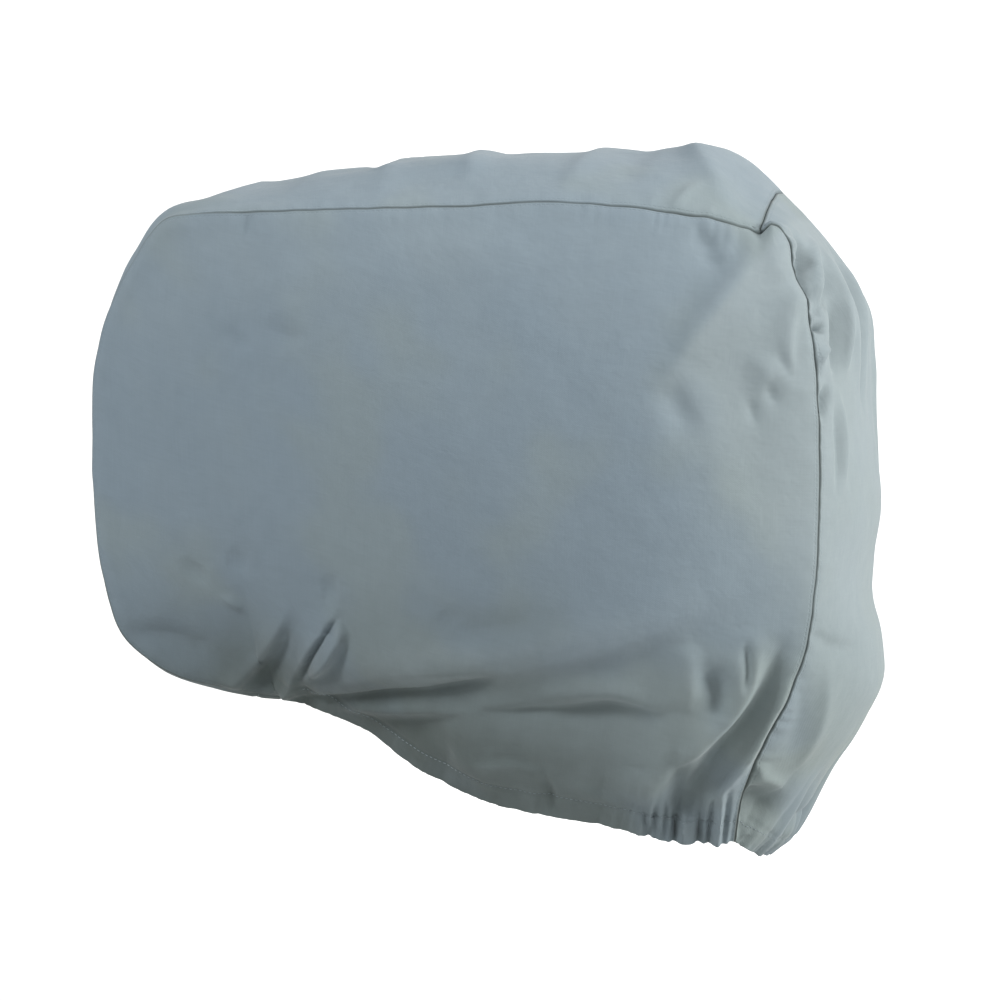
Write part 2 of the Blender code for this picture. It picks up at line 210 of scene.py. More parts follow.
# Lengths over a grid of points, along its first and along its second direction.
def gridLengths(points):
    run = np.linalg.norm(np.diff(points, axis=0, prepend=points[:1]), axis=2).cumsum(axis=0)
    climb = np.linalg.norm(np.diff(points, axis=1, prepend=points[:, :1]), axis=2).cumsum(axis=1)
    return run, climb


# Noise of about -1 to 1 along a line.
def noiseLine(at, seed):
    return np.array([noise.noise(Vector((x, 3.7 * seed, seed))) for x in at])


def twoWaves(lengths, waves, seed):
    fine, long, share = waves
    return noiseLine(lengths / fine, seed) + share * noiseLine(lengths / long, seed + 1)


# Noise of about -1 to 1 on a grid, with a scale of its own along each of the two directions.
def noiseField(a, b, scaleA, scaleB, seed):
    spots = zip((a / scaleA).ravel(), (b / scaleB).ravel())
    return np.array([noise.noise(Vector((x, y, seed))) for x, y in spots]).reshape(a.shape)


# For each point: distance to a line, distance along it at the nearest place, and side, left over 0.
def nearestOn(points, line, arcs):
    start, run = line[:-1], np.diff(line, axis=0)
    square = np.maximum((run**2).sum(axis=1), 1e-14)
    flat = points.reshape(-1, points.shape[-1])
    away, along, turn = np.empty(len(flat)), np.empty(len(flat)), np.zeros(len(flat))
    batch = 2000
    for first in range(0, len(flat), batch):
        part = slice(first, first + batch)
        offset = flat[part][:, None, :] - start[None]
        t = np.clip((offset * run[None]).sum(axis=2) / square, 0, 1)
        gap = offset - t[:, :, None] * run[None]
        distance = np.sqrt((gap**2).sum(axis=2))
        best = distance.argmin(axis=1)
        rows = np.arange(len(best))
        away[part] = distance[rows, best]
        along[part] = arcs[best] + t[rows, best] * (arcs[best + 1] - arcs[best])
        if points.shape[-1] == 2:
            cross = run[best, 0] * gap[rows, best, 1] - run[best, 1] * gap[rows, best, 0]
            turn[part] = cross / np.sqrt(square[best]) / np.maximum(away[part], 1e-9)
    shape = points.shape[:-1]
    return away.reshape(shape), along.reshape(shape), turn.reshape(shape)


foldShape = {
    "perMetre": 1000,  # folds are given in millimetres
    "samples": 25,
    "reach": 4.5,  # in widths, past which a fold no longer counts
    "crestRound": 0.12,
    "endDrop": 0.75,
    "endPower": 2.5,
}


# Lift of folds: the points that the crest passes through in the panel's two coordinates, width to
# the left and to the right of the way along it, height, and sharpness, where 2 is round.
def foldLift(a, b, folds):
    lift = np.zeros_like(a)
    for path, *sizes, sharpness in folds.values():
        knots = np.array(path).reshape(-1, 2) / foldShape["perMetre"]
        leftWidth, rightWidth, height = np.array(sizes) / foldShape["perMetre"]
        arcs = pathLengths(knots)
        line = spline(arcs, knots, np.linspace(0, arcs[-1], foldShape["samples"]))
        lineArcs = pathLengths(line)
        reach = foldShape["reach"] * max(leftWidth, rightWidth)
        low, high = line.min(axis=0) - reach, line.max(axis=0) + reach
        near = (a > low[0]) & (a < high[0]) & (b > low[1]) & (b < high[1])
        if not near.any():
            continue
        away, along, turn = nearestOn(np.stack((a[near], b[near]), axis=1), line, lineArcs)
        width = (leftWidth + rightWidth) / 2 + turn * (leftWidth - rightWidth) / 2
        soft = foldShape["crestRound"] * width
        reached = (np.sqrt(away**2 + soft**2) - soft) / width
        fromMiddle = np.abs(2 * along / lineArcs[-1] - 1)
        taper = 1 - foldShape["endDrop"] * fromMiddle ** foldShape["endPower"]
        lift[near] += height * taper * np.exp(-(reached**sharpness))
    return lift


gatherShape = {
    "span": (-0.02, 2.1),
    "step": 0.0006,
    "driftPitches": 2.6,
    "swellPitches": 1.7,
    "swell": (0.8, 0.9),
    "crest": 0.8,
    "middle": 0.6,
}


# Gathers along a hem or a seam: rounded ridges of uneven pitch with sharp valleys between them.
def gathers(along, pitch, unevenness, seed):
    shape = gatherShape
    places = np.arange(*shape["span"], shape["step"])
    phase = places / pitch + unevenness * noiseLine(places / pitch / shape["driftPitches"], seed)
    even, uneven = shape["swell"]
    swell = even + uneven * noiseLine(places / pitch / shape["swellPitches"], seed + 5)
    ridges = (np.abs(np.sin(math.pi * phase)) ** shape["crest"] - shape["middle"]) * swell
    return np.interp(along, places, ridges)


def readForm():
    rows = np.array(list(coverForm["sections"].values()))
    seam = rows[:, [0, 2, 1]]
    middle = np.stack((rows[:, 3], 0 * rows[:, 3], rows[:, 4]), axis=1)
    distance = pathLengths(seam[:, [0, 2]])
    marks = dict(zip(coverForm["sections"], distance))
    hem = np.array(list(coverForm["hemLine"].values()))[:, [0, 2, 1]]
    return distance, seam, middle, marks, hem


seamDistance, seamKnots, middleKnots, seamMarks, hemKnots = readForm()
puckerPlaces = np.array([seamMarks[name] for name in sewing["pucker"]])
puckerSizes = np.array(list(sewing["pucker"].values()))
fullPlaces = np.array([seamMarks[name] for name in sewing["fullness"]])
fullSizes, rollSizes = np.array(list(sewing["fullness"].values())).T
hookPlaces, hookX, hookZ = np.array(sewing["hook"]).T


def seamAt(distance):
    return spline(seamDistance, seamKnots, distance)


# An edge with its corners eased, for the rows of the panel that lie away from that edge.
def eased(u, edge):
    steps = coverForm["easeSteps"]
    reach, widths = coverForm["easeWidths"]
    even = np.linspace(-1, 2, 3 * steps + 1)
    inner = follow(even[steps : 2 * steps + 1], u, edge)
    before, after = 2 * inner[0] - inner[:0:-1], 2 * inner[-1] - inner[-2::-1]
    kernel = np.exp(-(np.linspace(-widths, widths, 2 * reach + 1) ** 2))
    kernel = kernel / kernel.sum()
    padded = np.concatenate((before, inner, after))
    smooth = np.stack([np.convolve(padded[:, axis], kernel, mode="same") for axis in range(3)], axis=1)
    return follow(u, even, smooth)


# The side panel at shares u of its length and v of its height, and what it is sewn to at each edge.
def sideForm(u, v, side):
    marks, chinShare, notchShare = seamMarks, coverForm["chinShare"], coverForm["notchShare"]
    hemArcs = pathLengths(hemKnots)
    onHem = spline(hemArcs, hemKnots, hemArcs[-1] * np.clip((u - chinShare) / (1 - chinShare), 0, 1))
    chinAt = marks["chin turn"] + (marks["front hem"] - marks["chin turn"]) * np.clip(u / chinShare, 0, 1)
    onChin = u < chinShare
    bottom = np.where(onChin[:, None], seamAt(chinAt), onHem)
    corner, notch, frontCorner = marks["corner"], marks["notch"], marks["front corner"]
    toNotch = frontCorner + (notch - frontCorner) * u / notchShare
    pastNotch = notch + (corner - notch) * (u - notchShare) / (1 - notchShare)
    topAt = np.where(u < notchShare, toNotch, pastNotch)
    frontAt = marks["chin turn"] + (frontCorner - marks["chin turn"]) * v
    aftAt = marks["aft hem"] + (corner - marks["aft hem"]) * v
    top, front, aft = seamAt(topAt), seamAt(frontAt), seamAt(aftAt)
    uu, vv = u[:, None, None], v[None, :, None]
    bottomEase, topEase = coverForm["edgeEase"]
    bottom = bottom[:, None] + smoothStep(vv / bottomEase) * (eased(u, bottom) - bottom)[:, None]
    top = top[:, None] + smoothStep((1 - vv) / topEase) * (eased(u, top) - top)[:, None]
    corners = (1 - vv) * ((1 - uu) * bottom[0] + uu * bottom[-1])
    corners = corners + vv * ((1 - uu) * top[0] + uu * top[-1])
    points = (1 - vv) * bottom + vv * top + (1 - uu) * front[None] + uu * aft[None] - corners
    endRound, heightRound = coverForm["sideRound"]
    bulge = 1 - np.abs(2 * uu - 1) ** endRound
    bulge = bulge * (1 - np.abs(2 * vv ** coverForm["bulgeRise"] - 1) ** heightRound)
    points[:, :, 1] += coverForm["sideBulge"] * bulge[:, :, 0] + sewing["seamHalfGap"]
    points[:, :, 1] *= side
    seam = "port" if side < 0 else "starboard"
    edges = {
        "start": (seam, frontAt, np.ones(len(v), bool)),
        "end": (seam, aftAt, np.ones(len(v), bool)),
        "low": (seam, chinAt, onChin),
        "high": (seam, topAt, np.ones(len(u), bool)),
    }
    if side > 0:
        points = points[::-1]
        edges = {
            "start": edges["end"],
            "end": edges["start"],
            "low": (seam, chinAt[::-1], onChin[::-1]),
            "high": (seam, topAt[::-1], edges["high"][2]),
        }
    return points, edges


# A strip at distances along the seam and shares across it from -1, port, to 1, starboard.
def stripForm(along, across):
    edge = seamAt(along)[:, None]
    centre = spline(seamDistance, middleKnots, along)[:, None]
    t = across[None, :, None]
    points = edge + (centre - edge) * (1 - np.abs(t) ** coverForm["crownRound"])
    points[:, :, 1] = (t * (edge[:, :, 1:2] - sewing["seamHalfGap"]))[:, :, 0]
    atHem = along[0] == 0
    sewn, loose = np.ones(len(across), bool), np.zeros(len(across), bool)
    edges = {
        "start": ("cross", across, loose if atHem else sewn),
        "end": ("cross", across, sewn if atHem else loose),
        "low": ("port", along, np.ones(len(along), bool)),
        "high": ("starboard", along, np.ones(len(along), bool)),
    }
    return points, edges


# Grid lines of each panel: closer together at the seams, at the hem and where the folds are small.
# Each table gives the widest step by distance along the panel.
gridSteps = {
    "sideSize": (0.70, 0.54),
    "sideAlong": (
        (0.0, 0.0036), (0.12, 0.0030), (0.16, 0.0025), (0.24, 0.0026), (0.30, 0.0036), (0.48, 0.0034),
        (0.54, 0.0022), (0.70, 0.0021),
    ),
    "sideUp": ((0.0, 0.0020), (0.16, 0.0027), (0.24, 0.0050), (0.42, 0.0052), (0.54, 0.0038)),
    "stripWidth": 0.38,
    "stripAcross": ((0.0, 0.0028),),
    "topAlong": ((0.0, 0.0042),),
    "aftAlong": ((0.0, 0.0027),),
    "edgeStep": 0.0007,
    "edgeGrowth": 0.3,
    "samples": 4000,
}


# Places from 0 to 1 along a length.
def stepsOver(length, coarse):
    fine = np.linspace(0, length, gridSteps["samples"] + 1)
    nearEdge = gridSteps["edgeGrowth"] * np.minimum(fine, length - fine)
    density = 1 / np.minimum(tableAt(fine, coarse), gridSteps["edgeStep"] + nearEdge)
    total = np.concatenate(([0.0], np.cumsum((density[1:] + density[:-1]) / 2 * np.diff(fine))))
    count = int(math.ceil(total[-1]))
    return np.interp(np.linspace(0, total[-1], count + 1), total, fine) / length


def sideLines():
    length, height = gridSteps["sideSize"]
    u, v = stepsOver(length, gridSteps["sideAlong"]), stepsOver(height, gridSteps["sideUp"])
    for share in (coverForm["chinShare"], coverForm["notchShare"]):
        u[np.abs(u - share).argmin()] = share
    return u, v


def stripLines(first, last, gapAtFirst, gapAtLast, coarse):
    start, end = seamMarks[first] + gapAtFirst, seamMarks[last] - gapAtLast
    across = 2 * stepsOver(gridSteps["stripWidth"], gridSteps["stripAcross"]) - 1
    return start + (end - start) * stepsOver(end - start, coarse), across


seamLength = round(float(seamDistance[-1]), 3)
print("form read:", len(coverForm["sections"]), "sections,", seamLength, "m of seam a side")

halfGap = sewing["seamHalfGap"]
panels = {
    "port": sideForm(*sideLines(), -1),
    "starboard": sideForm(*sideLines(), 1),
    "frontAndTop": stripForm(*stripLines("front hem", "notch", 0, halfGap, gridSteps["topAlong"])),
    "aft": stripForm(*stripLines("notch", "aft hem", halfGap, 0, gridSteps["aftAlong"])),
}


# The lines that panels are sewn along, and the way into the cover there, which both panels share.
def sewnLines():
    lines = {}
    arcs = np.linspace(0, seamDistance[-1], sewing["seamSamples"])
    for name, side in (("port", -1), ("starboard", 1)):
        lines[name] = [seamAt(arcs) * (1, side, 1), arcs, np.zeros((len(arcs), 3))]
    notch = panels["aft"][0][0]
    lines["cross"] = [notch, panels["aft"][1]["start"][1], np.zeros((len(notch), 3))]
    for points, edges in panels.values():
        for place, ends in borders(outward(points)).items():
            name, at, sewn = edges[place]
            if not sewn.any():
                continue
            order = np.argsort(at[sewn])
            at, ends = at[sewn][order], ends[sewn][order]
            line = lines[name]
            here = (line[1] >= at[0] - 1e-6) & (line[1] <= at[-1] + 1e-6)
            line[2][here] += follow(line[1][here], at, ends)
    return {name: (line[0], line[1], unit(line[2])) for name, line in lines.items()}


seamLines = sewnLines()


# Where the seam itself wanders, because the thread pulls it unevenly: the same for both panels.
def wanderTable(name):
    line, arcs, normal = seamLines[name]
    lengths = pathLengths(line)
    sideways = unit(np.cross(np.gradient(line, axis=0), normal))
    crossing = name == "cross"
    strength = sewing["crossPucker"] + 0 * arcs if crossing else np.interp(arcs, puckerPlaces, puckerSizes)
    seed = sewing["wanderSeeds"][name]
    out = twoWaves(lengths, sewing["wavesOut"], seed)
    aside = twoWaves(lengths, sewing["wavesAside"], seed + 2)
    size = sewing["wanderSize"] * (sewing["wanderSlack"] + strength)[:, None]
    shift = size * (out[:, None] * normal + sewing["wanderAside"] * aside[:, None] * sideways)
    full, lean = 0 * normal, 0 * arcs
    if not crossing:
        lean = np.interp(arcs, fullPlaces, rollSizes)
        full = np.interp(arcs, fullPlaces, fullSizes)[:, None] * normal
        full += (sewing["fullAside"] * lean * (-1 if name == "port" else 1))[:, None] * sideways
        shift[:, 0] += np.interp(arcs - seamMarks["notch"], hookPlaces, hookX)
        shift[:, 2] += np.interp(arcs - seamMarks["notch"], hookPlaces, hookZ)
    return lengths, strength, shift, full, lean


wander = {name: wanderTable(name) for name in seamLines}


# At the nearest seam: distance to it, length along it, pucker strength, lean, way in, and wander.
def nearSeams(points, names):
    found, moved = None, 0
    for name in names:
        line, _, normal = seamLines[name]
        lengths, strength, shift, full, lean = wander[name]
        away, along, _ = nearestOn(points, line, lengths)
        counted = along + sewing["crossStart"] * (name == "cross")
        here = [away, counted, np.interp(along, lengths, strength), np.interp(along, lengths, lean)]
        here = np.array(here + [np.interp(along, lengths, normal[:, axis]) for axis in range(3)])
        moved = moved + follow(along, lengths, shift) * hump(away, 0, sewing["wanderReach"])[:, :, None]
        moved = moved + follow(along, lengths, full) * hump(away, 0, sewing["fullReach"])[:, :, None]
        found = here if found is None else np.where(here[0] < found[0], here, found)
    return *found[:4], unit(np.moveaxis(found[4:], 0, -1)), moved


# The cloth past each edge: a seam allowance that goes in, or the hem turned up inside.
def pastEdge(points, normal, sewn, way):
    rows = []
    down = unit(points[:, 0] - points[:, 1])
    _, climb = gridLengths(points)
    cuts = zip(sewing["allowance"], sewing["hemTurn"], sewing["hemDrop"], sewing["hemDepth"])
    for allowance, turn, drop, depth in cuts:
        turned = np.array([follow(turn, lengths, column) for lengths, column in zip(climb, points)])
        turned += down * drop - normal[:, 0] * depth
        inside = points[:, 0] - way * allowance
        rows.append(np.where(sewn[:, None], inside, turned))
    return np.stack(rows[::-1], axis=1)


def closeEdges(points, normal, ways, sewn):
    extra = len(sewing["allowance"])
    low = pastEdge(points, normal, sewn["low"], ways["low"])
    high = pastEdge(points[:, ::-1], normal[:, ::-1], sewn["high"], ways["high"])[:, ::-1]
    wide = np.concatenate((low, points, high), axis=1)
    wideNormal = np.pad(normal, ((0, 0), (extra, extra), (0, 0)), mode="edge").transpose(1, 0, 2)
    turned = wide.transpose(1, 0, 2)
    ends = []
    for place, there, thereNormal in (
        ("start", turned, wideNormal),
        ("end", turned[:, ::-1], wideNormal[:, ::-1]),
    ):
        way = np.pad(ways[place], ((extra, extra), (0, 0)), mode="edge")
        ends.append(pastEdge(there, thereNormal, np.pad(sewn[place], extra, mode="edge"), way))
    start, end = ends[0].transpose(1, 0, 2), ends[1][:, ::-1].transpose(1, 0, 2)
    return np.concatenate((start, wide, end), axis=0)


# Each panel's folds as they lie on it, in millimetres: x and z on a side, x and y on the top, y and z
# on the front and the aft end, one place after another. Then the width to the left and to the right of
# the way along the fold, with the second axis up, the height, and the sharpness. The flat size and area
# are the cloth as it was cut, the reach from the hem is how far dirt and painted shade climb from it,
# and gather and drawnUp go by length along the hem, all in metres.
portPanel = {
    "node": "side_panel_port",
    "flat": (0.74, 0.66),
    "area": 0.41,
    "thread": "port_hem_stitches",
    "tone": 1.0,
    "hemSoilAndShadeReach": 0.12,
    "seed": 4.0,
    "slack": (0.0011, 0.0004),
    "pucker": 0.7,
    "gather": ((0.0, 0.25), (0.06, 0.2), (0.20, 0.3), (0.32, 0.35), (0.37, 0.9), (0.42, 1.25), (0.50, 1.4)),
    "drawnUp": (
        (0.0, 0.0), (0.12, 0.0), (0.18, 0.004), (0.26, 0.007), (0.34, 0.006), (0.41, 0.001), (0.5, 0.0),
    ),
    "folds": {
        # over the hem, fore and middle
        "over the crease": ((-150, -500, -92, -490, -30, -481, 30, -471), 26, 13, 8, 1.8),
        "hem crease": (
            (-178, -520, -135, -517, -106, -513, -67, -507, -22, -502, 36, -488), 3.3, 9, -8.5, 1.2
        ),
        "crease mouth": ((-28, -500, 10, -494, 36, -489), 5, 8, -4.2, 1.5),
        "shaded hollow": ((-130, -535, -70, -540, -12, -532), 10, 30, -7, 1.8),
        "second edge": ((-120, -527, -55, -526, 18, -523), 6, 4, 4, 1.4),
        "light swell": ((-60, -476, 38, -479, 97, -467, 150, -455, 236, -415), 26, 16, 10, 1.8),
        "swell shade": ((-30, -450, 40, -448, 90, -434), 14, 14, -4.5, 1.9),
        "leaf edge": ((26, -523, 6, -537, -2, -552, 0, -570, 14, -586, 36, -606), 26, 9, 4.2, 1.7),
        "patch top": ((14, -578, 44, -575, 76, -583), 3.5, 16, 4, 1.4),
        "hem groove": ((78, -588, 81, -604, 83, -624), 4, 5, -4.5, 1.3),
        "fine line": ((106, -593, 126, -607, 142, -614), 5, 7, 2.5, 1.5),
        "low crest": ((80, -503, 113, -502, 150, -502, 176, -511), 16, 7, 7, 1.6),
        "low crease": ((60, -521, 111, -517, 144, -513, 166, -517, 186, -523, 200, -520), 5, 11, -6.2, 1.4),
        "crease start": ((19, -523, 50, -522, 85, -519), 4, 8, -3.5, 1.4),
        "hem rise": ((-150, -535, -60, -578, 30, -615, 110, -632), 22, 22, -4, 2.0),
        # lower aft corner
        "aft puff": ((162, -574, 160, -612), 16, 14, 5, 2.0),
        "folded valley": ((203, -556, 200, -592, 195, -628), 10, 9, -12, 1.5),
        "trough foot": ((226, -578, 213, -598, 203, -622), 9, 12, -6.5, 1.7),
        "aft trough": (
            (297, -464, 283, -503, 263, -534, 239, -560, 222, -588, 212, -612), 10, 9, -14.5, 1.5
        ),
        "trough ridge": (
            (278, -462, 268, -503, 253, -526, 230, -549, 206, -568, 184, -590), 6, 17, 10, 1.5
        ),
        "seam ridge": ((315, -480, 300, -506, 283, -537, 262, -568, 238, -594, 216, -628), 7, 6, 8, 1.3),
        "short hollow": ((229, -482, 241, -503, 236, -524), 10, 9, -10, 1.7),
        "short ridge": ((212, -455, 217, -490, 208, -520), 10, 16, 6, 1.8),
        "fork": ((267, -458, 268, -480, 265, -498), 3.5, 3.5, -6, 1.3),
        "hem pleat 1": ((167, -612, 170, -650), 2.8, 3.6, -5, 1.3),
        "hem pleat 2": ((178, -614, 177, -650), 2.4, 2.8, -5, 1.3),
        "hem pleat 3": ((188, -608, 185, -650), 2.6, 3, -6, 1.3),
        "hem pleat 4": ((196, -620, 195, -650), 3, 2.6, -5, 1.3),
        "hem ridge 1": ((203, -604, 202, -650), 3.5, 3, 5, 1.4),
        "hem pleat 5": ((222, -604, 215, -652), 2.6, 3, -5.5, 1.3),
        "hem pleat 6": ((233, -594, 225, -654), 2.4, 3, -6, 1.3),
        "hem ridge 2": ((239, -598, 231, -652), 2.6, 2.8, 5, 1.3),
        "hem pleat 7": ((246, -594, 238, -654), 2.4, 2.8, -5, 1.3),
        # the chin
        "tuck edge": ((-116, -436, -134, -459, -152, -482, -163, -498), 2.4, 14, 5.5, 1.4),
        "tuck line": ((-113, -437, -131, -461, -149, -485, -160, -498), 2.6, 2, -5.5, 1.2),
        "tuck lens": ((-112, -440, -107, -452, -113, -466, -126, -482, -144, -494), 2.6, 17, 12.5, 1.5),
        "chin ridge": ((-166, -436, -180, -460, -200, -481, -219, -497, -233, -508), 6, 14, 9, 1.4),
        "chin valley": ((-164, -452, -183, -475, -203, -495, -220, -509), 9, 5, -6, 1.5),
        "chin curl": ((-164, -495, -168, -509, -182, -521), 3, 9, 6, 1.4),
        "under the curl": ((-154, -503, -158, -517), 9, 4, -4, 1.5),
        "chin crease": ((-326, -452, -298, -452, -271, -459, -245, -469), 8, 13, -6, 1.5),
        "chin pinch": ((-230, -421, -221, -426, -212, -432), 3, 4.5, 4.2, 1.3),
        "dent 1": ((-262, -405, -250, -392), 13, 12, -3.5, 2.0),
        "dent 2": ((-222, -384, -200, -390), 12, 10, -2.5, 2.0),
        "dent 3": ((-128, -411, -110, -411), 10, 10, -3, 2.0),
        "dent 4": ((-10, -428, 1, -443), 10, 8, -2.5, 2.0),
        # top fore corner
        "seam nip": ((-197, -64, -198, -88), 3, 4, -3, 1.3),
        "small arc": ((-215, -172, -206, -181, -193, -183), 4, 6, -2.4, 1.4),
        "longer arc": ((-178, -165, -158, -176, -136, -179), 5, 8, -3, 1.4),
        "brow slack": ((-229, -113, -222, -145, -212, -174), 14, 14, 2.4, 2.0),
        "brow slack 2": ((-150, -100, -165, -140, -146, -162), 16, 12, 2.2, 2.0),
        "long soft ridge": ((-130, -130, -40, -108, 80, -104), 18, 26, 3, 2.0),
        # top aft corner
        "shoulder fold": (
            (292, -87, 274, -104, 256, -129, 241, -147, 224, -171, 208, -197), 46, 12, 10, 1.4
        ),
        "shoulder puff": ((296, -94, 296, -110, 291, -130), 10, 14, 4, 2.0),
        "seam side ridge": ((312, -128, 307, -160, 304, -186, 306, -210, 317, -226), 6, 14, 7, 1.5),
        "ridge end": ((293, -194, 302, -208, 315, -222), 5, 4, -4, 1.4),
        "small seam arc": ((230, -99, 241, -106, 254, -101), 4, 4, 2.2, 1.5),
        "notch dip": ((217, -83, 231, -96, 240, -115), 6, 11, -4.5, 1.6),
        "aft wrinkle": ((199, -224, 208, -241, 222, -263), 10, 12, -4.5, 1.8),
        "aft nip 1": ((285, -224, 296, -238), 4, 4, -3.5, 1.4),
        "aft nip 2": ((271, -236, 278, -254), 4, 5, -3, 1.4),
        "soft knee": ((268, -196, 285, -213, 277, -227), 8, 8, 2.8, 1.8),
        "aft sway": ((235, -150, 258, -230, 296, -330), 26, 26, -4, 2.0),
        "broad sag": ((-260, -330, -70, -300, 120, -300), 70, 70, 4, 2.0),
    },
}
starboardPanel = {
    "node": "side_panel_starboard",
    "flat": (0.74, 0.66),
    "area": 0.41,
    "thread": "starboard_hem_stitches",
    "tone": 1.0,
    "hemSoilAndShadeReach": 0.12,
    "seed": 14.0,
    "slack": (0.0012, 0.0004),
    "drawnUp": ((0.0, 0.0), (0.09, 0.001), (0.18, 0.006), (0.26, 0.006), (0.33, 0.003), (0.5, 0.0)),
    "pucker": 0.7,
    "gather": ((0.0, 1.2), (0.12, 1.1), (0.22, 0.7), (0.34, 0.5), (0.44, 0.5), (0.50, 0.7)),
    "folds": {
        "hem roll": ((-150, -503, -80, -494, -10, -484, 40, -480), 22, 11, 8.8, 1.7),
        "under the roll": ((-155, -517, -80, -511, 10, -502), 6, 18, -9.5, 1.4),
        "light swell": ((-110, -470, 30, -462, 170, -430), 36, 30, 6, 2.0),
        "low crease": ((50, -530, 110, -521, 160, -511, 215, -508), 8, 18, -9, 1.4),
        "low crest": ((60, -548, 120, -545, 165, -552), 14, 16, 4.5, 1.8),
        "aft trough": ((303, -440, 296, -480, 262, -530, 222, -575, 190, -620), 13, 16, -12.5, 1.5),
        "trough ridge": ((270, -430, 262, -480, 232, -525, 190, -560, 160, -588), 11, 20, 10, 1.7),
        "seam ridge": ((318, -480, 296, -525, 268, -570), 9, 9, 5.5, 1.6),
        "chin ridge": ((-165, -415, -182, -445, -225, -485), 8, 15, 8.4, 1.5),
        "chin fold": ((-122, -425, -135, -455, -165, -500), 6, 10, -6, 1.4),
        "chin puff": ((-100, -440, -118, -475), 14, 12, 5, 2.0),
        "chin crease": ((-300, -430, -265, -436, -240, -452), 12, 9, -6, 1.5),
        "brow slack": ((-240, -105, -215, -150, -205, -190), 12, 14, 2.5, 2.0),
        "brow arc": ((-180, -150, -150, -165, -120, -168), 6, 7, -2.4, 1.4),
        "shoulder fold": ((290, -100, 250, -150, 190, -200), 18, 8, 7.5, 1.6),
        "shoulder fold 2": ((300, -150, 265, -205, 235, -250), 14, 12, 4.2, 1.8),
        "aft sway": ((225, -120, 265, -230, 305, -350), 28, 28, -4, 2.0),
        "broad sag": ((-240, -300, -50, -290, 140, -330), 70, 70, 4, 2.0),
        "gather 1": ((-128, -540, -116, -505), 10, 13, -5, 1.6),
        "gather 2": ((-62, -575, -52, -540), 9, 12, -5, 1.6),
        "gather 3": ((0, -610, 6, -580), 10, 12, -4, 1.6),
        "gather 4": ((62, -628, 60, -585), 9, 11, -5, 1.5),
        "gather 5": ((118, -636, 110, -600), 8, 10, -5, 1.5),
        "gather 6": ((160, -642, 166, -590), 7, 10, -6, 1.5),
        "gather 7": ((212, -648, 222, -590), 7, 10, -6, 1.5),
    },
}
frontAndTopPanel = {
    "node": "front_and_top_strip",
    "flat": (0.43, 1.23),
    "area": 0.415,
    "thread": "front_hem_stitches",
    "tone": 1.02,
    "hemSoilAndShadeReach": 0.12,
    "seed": 24.0,
    "slack": (0.0012, 0.0005),
    "drawnUp": ((0.0, 0.0), (1.0, 0.0)),
    "pucker": 1.1,
    "gather": ((0.0, 1.0), (0.10, 1.1), (0.20, 1.0)),
    "folds": {
        "front ripple": ((-255, -120, -262, 0, -262, 110), 12, 14, -3, 1.8),
        "second ripple": ((-228, -130, -218, 0, -216, 125), 14, 16, 3, 1.8),
        "fore level": ((-290, 0, -215, 0), 80, 80, -6, 2.5),
        "middle level": ((-115, 0, -75, 0), 80, 80, -4, 2.5),
        "slack step": ((-155, -150, -150, -20, -162, 120), 12, 18, 2, 1.8),
        "port slack": ((-150, -125, -40, -112, 60, -120), 24, 22, 4, 2.0),
        "starboard slack": ((-80, 128, 20, 112, 130, 118), 24, 24, 4, 2.0),
        "crown ridge": ((4, -155, -1, -50, 6, 80), 8, 12, 3.2, 1.5),
        "crown level": ((-55, 0, 150, 0), 80, 80, -5, 2.5),
        "crown dip": ((30, -130, 26, 0, 34, 120), 12, 16, -2, 1.8),
        "thin ridge": ((-75, -165, -81, -60, -70, 60), 8, 14, 2.6, 1.5),
        "long diagonal": ((98, -165, 112, -60, 116, 50), 10, 16, 4.2, 1.6),
        "long diagonal dip": ((150, -160, 158, -60, 155, 80), 14, 14, -3.5, 1.8),
        "aft ripple": ((205, -140, 214, -20, 208, 130), 14, 16, 2, 1.8),
        "notch facet": ((196, -30, 212, -84, 227, -127, 243, -160), 16, 10, 6, 1.5),
        "notch hollow": ((262, -30, 258, -90, 262, -150), 12, 14, -5, 1.6),
        "edge facet": ((216, -148, 206, -168, 199, -186), 4, 5, 3.5, 1.4),
        "starboard facet": ((215, 170, 245, 130, 262, 70), 8, 8, -6, 1.4),
    },
    "frontFolds": {
        "port slack": ((-70, -180, -58, -255, -60, -330), 24, 22, 4, 2.0),
        "starboard slack": ((70, -210, 55, -290, 55, -370), 24, 22, 4, 2.0),
        "low cross fold": ((-95, -402, -10, -412, 80, -398), 12, 14, -1.8, 1.7),
        "low puff": ((-80, -440, 0, -448, 75, -438), 18, 16, 1.2, 2.0),
        "port corner fold": ((-122, -205, -98, -255), 9, 8, 3, 1.6),
        "middle gather": ((4, -540, 0, -490, -6, -430), 9, 12, -6, 1.6),
        "port gather": ((-45, -540, -44, -495, -36, -450), 8, 11, -5, 1.6),
        "starboard gather": ((50, -540, 46, -490, 38, -445), 8, 11, -5, 1.6),
    },
}
